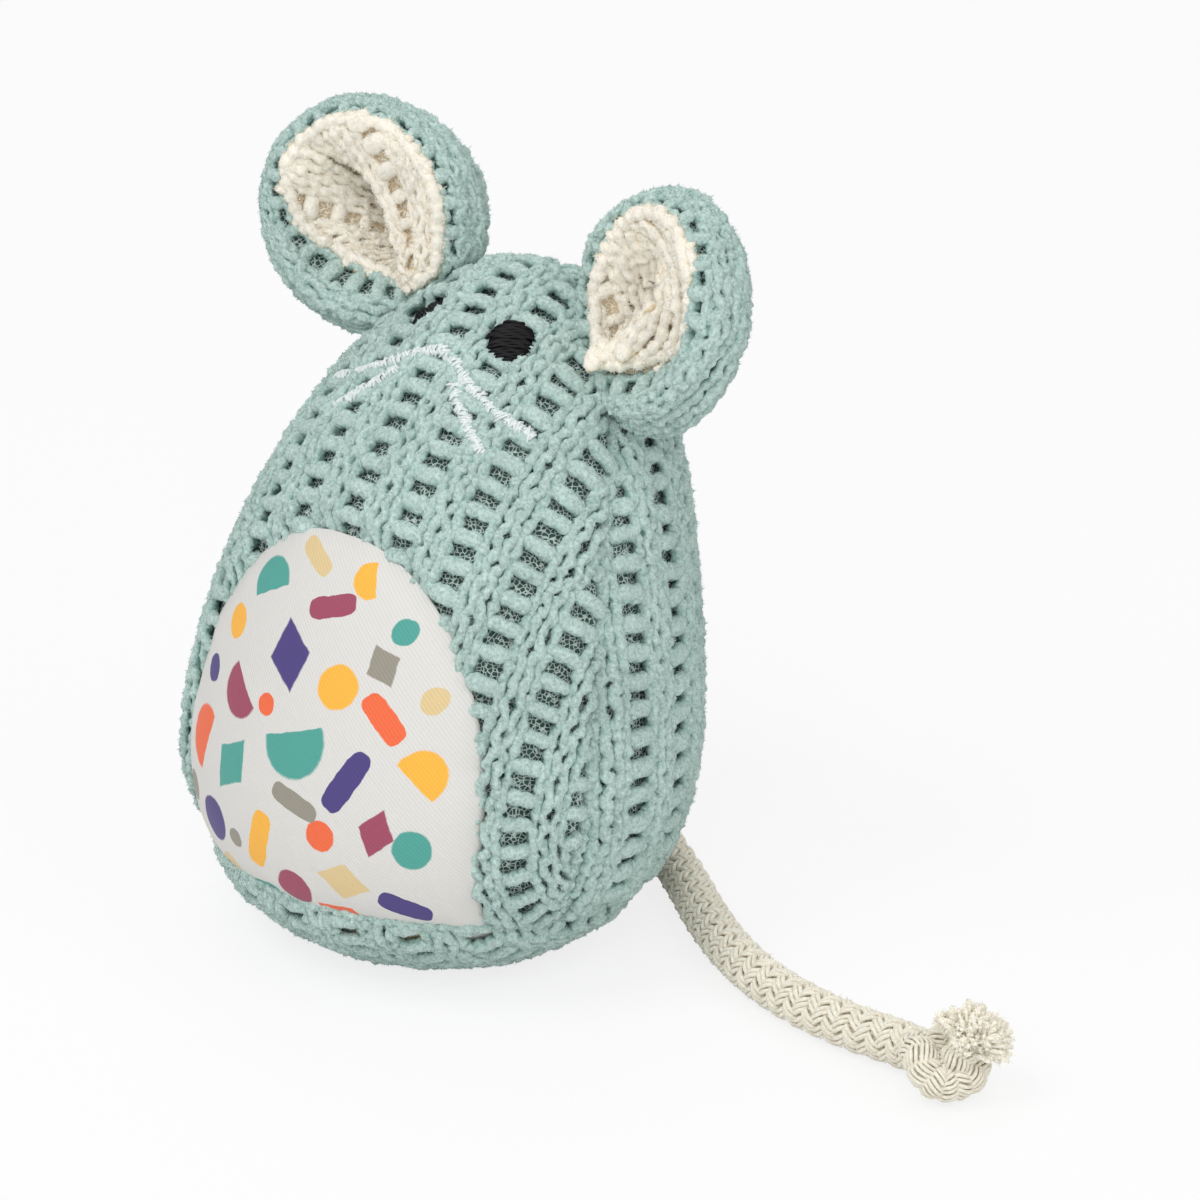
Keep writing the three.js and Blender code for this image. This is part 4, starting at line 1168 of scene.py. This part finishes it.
store = newStore()
tuftAlong = unit(0.42 * knotRight + 0.75 * knotUp + 0.45 * knotFront)
tuftSide = unit(np.cross(tuftAlong, np.array([0.0, 0.0, 1.0])))
tuftUp = np.cross(tuftSide, tuftAlong)
tuftFoot = knotCentre + knotRight * 2.0 + knotUp * 1.0 + knotFront * 0.6
wild = draws(5 * tail["tuftYarns"], 71)
for i in range(tail["tuftYarns"]):
    bunch = i % tail["tuftBunches"]
    turn, ring = bunch * tail["tuftTurn"], np.sqrt((bunch + 0.5) / tail["tuftBunches"])
    aside = ring * np.array([np.cos(turn), np.sin(turn)]) + tail["tuftScatter"] * wild[5 * i + 1:5 * i + 3]
    ring = np.hypot(*aside)
    aim = (tuftSide * aside[0] + tuftUp * aside[1]) / ring
    length = tail["tuftLength"] * (0.74 + 0.26 * wild[5 * i])
    share = np.linspace(0, 1, 12)[:, None]
    spread = ring * (tail["tuftOpen"] * share + (tail["tuftFlare"] - tail["tuftOpen"]) * share ** 2)
    spread = spread + tail["tuftNeck"] * ring * (1 - share)
    curl = tail["tuftCurl"] * np.sin(share * 7 + 3 * wild[5 * i + 3]) * share
    yarn = tuftFoot + tuftAlong * length * share * (1 - 0.25 * ring ** 2 * share) + aim * spread
    yarn = yarn + np.cross(tuftAlong, aim) * curl
    thick = tail["tuftYarnRadius"] * (1 - 0.35 * share[:, 0] ** 2) * (1 + 0.15 * wild[5 * i + 3])
    addTube(store, yarn, np.tile(aim, (12, 1)), thick, thick, 6, shadeAndTone=0.3 * wild[5 * i + 4] + 0.2,
            lumpSize=0.07, lumpCell=0.5, seed=500 + i)
addFuzz(store, tail["tuftFuzzShare"], tail["tuftFuzzLength"], 77)
tailTuft = makePiece("tailTuft", store, frayedCotton)
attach(tailTuft, "tail_far")
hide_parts("tail_tuft")
tailLength = float(walkAlong(routeLine)[-1])
[tuple(point * mm) for point in routeLine]
print("knot and tuft made, rope length", round(tailLength, 1))


# Inside: loose filling and the herb sachet, unseen in the photo

filling = plainFibre("carded polyester fibre", "#f2f1ec", 0.95, 0.4)  # white, matt, soft rim of light
muslin = plainFibre("plain woven cotton muslin", "#b9b48c", 0.9, 0.0)  # flat khaki from the herb behind it
stuffing = {"voxel": 2.4, "sachetVoxel": 1.2, "lump": 0.7, "lumpCell": 7.0, "shrink": 1.0}
for name, node in (("fillingFront", "stuffing_front"), ("fillingBack", "stuffing_back")):
    piece = copyOf(node, name)
    applyModifier(piece, "REMESH", mode="VOXEL", voxel_size=stuffing["voxel"] * mm)
    points = np.empty(len(piece.data.vertices) * 3)
    piece.data.vertices.foreach_get("co", points)
    normals = np.array([vertex.normal for vertex in piece.data.vertices])
    points = points.reshape(-1, 3)
    bulge = stuffing["lump"] * lumps(points / mm, stuffing["lumpCell"], 9) - stuffing["shrink"]
    piece.data.vertices.foreach_set("co", (points + normals * (bulge * mm)[:, None]).ravel())
    clothe(piece, filling)
    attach(piece, "torso")
    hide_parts(node)
sachet = copyOf("catnip_sachet", "herbSachet")
applyModifier(sachet, "REMESH", mode="VOXEL", voxel_size=stuffing["sachetVoxel"] * mm)
clothe(sachet, muslin)
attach(sachet, "torso")
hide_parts("catnip_sachet")
print("filling and sachet made")


# Stage: plain white floor, soft studio light

view = {"azimuth": 42.0, "elevation": 23.0, "distance": 700.0, "middle": (0.0, 3.5, 42.0), "aimAcross": 18.8,
        "aimUp": 0.45, "lens": 168.0}
studio = {"worldLight": 0.4, "floorSize": 6.0, "floorDrop": 0.0002, "floorGlow": 0.8}
turn, tilt = np.radians(view["azimuth"]), np.radians(view["elevation"])
backward = np.array([np.sin(turn) * np.cos(tilt), -np.cos(turn) * np.cos(tilt), np.sin(tilt)])
sideways = np.array([np.cos(turn), np.sin(turn), 0.0])
upward = np.cross(backward, sideways)
middle = np.array(view["middle"])


def aimAt(thing, place, target):
    thing.location = Vector(place * mm)
    thing.rotation_mode = "QUATERNION"
    thing.rotation_quaternion = Vector((target - place) * mm).to_track_quat("-Z", "Y")


cameraData = bpy.data.cameras.new("camera")
cameraData.lens = view["lens"]
cameraData.sensor_width = 36.0
cameraData.clip_start, cameraData.clip_end = 0.01, 10.0
camera = addObject("camera", cameraData)
aimAt(camera, middle + backward * view["distance"],
      middle + sideways * view["aimAcross"] + upward * view["aimUp"])
bpy.context.scene.camera = camera

lamps = {  # place in camera directions (across, up, towards the camera), size and power
    "key": ((-420, 520, 480), 420, 2.2),
    "fill": ((520, 180, 520), 600, 1.2),
    "front": ((-60, 160, 760), 380, 1.7),
    "top": ((0, 700, -60), 500, 1.0),
    "rim": ((120, 320, -620), 500, 0.8),
}
for name, (place, size, power) in lamps.items():
    lampData = bpy.data.lights.new(name, "AREA")
    lampData.size = size * mm
    lampData.energy = power
    lamp = addObject(name, lampData)
    aimAt(lamp, middle + sideways * place[0] + upward * place[1] + backward * place[2], middle)

world = bpy.data.worlds.new("studio")
world.use_nodes = True
plug(world.node_tree, world.node_tree.nodes["Background"], {
    "Color": (1.0, 1.0, 1.0, 1.0), "Strength": studio["worldLight"]})
bpy.context.scene.world = world
bpy.context.scene.view_settings.view_transform = "Standard"

bpy.ops.object.select_all(action="DESELECT")
bpy.ops.mesh.primitive_plane_add(size=studio["floorSize"], location=(0, 0, -studio["floorDrop"]))
floor = bpy.context.object
floor.name = "floor"
paper, tree, shader = newMaterial("white paper floor")
plug(tree, shader, {"Base Color": hexColour("#f2f2f2"), "Roughness": 0.9})
glow = addNode(tree, "Emission", {"Color": (1, 1, 1, 1), "Strength": 1.0})
seen = addNode(tree, "LightPath", {}, "Is Camera Ray")
share = addNode(tree, "Math", {0: seen, 1: studio["floorGlow"]}, operation="MULTIPLY")
blend = addNode(tree, "MixShader", {0: share, 1: shader.outputs["BSDF"], 2: glow})
plug(tree, tree.nodes["Material Output"], {"Surface": blend})
floor.data.materials.append(paper)
print("stage set")
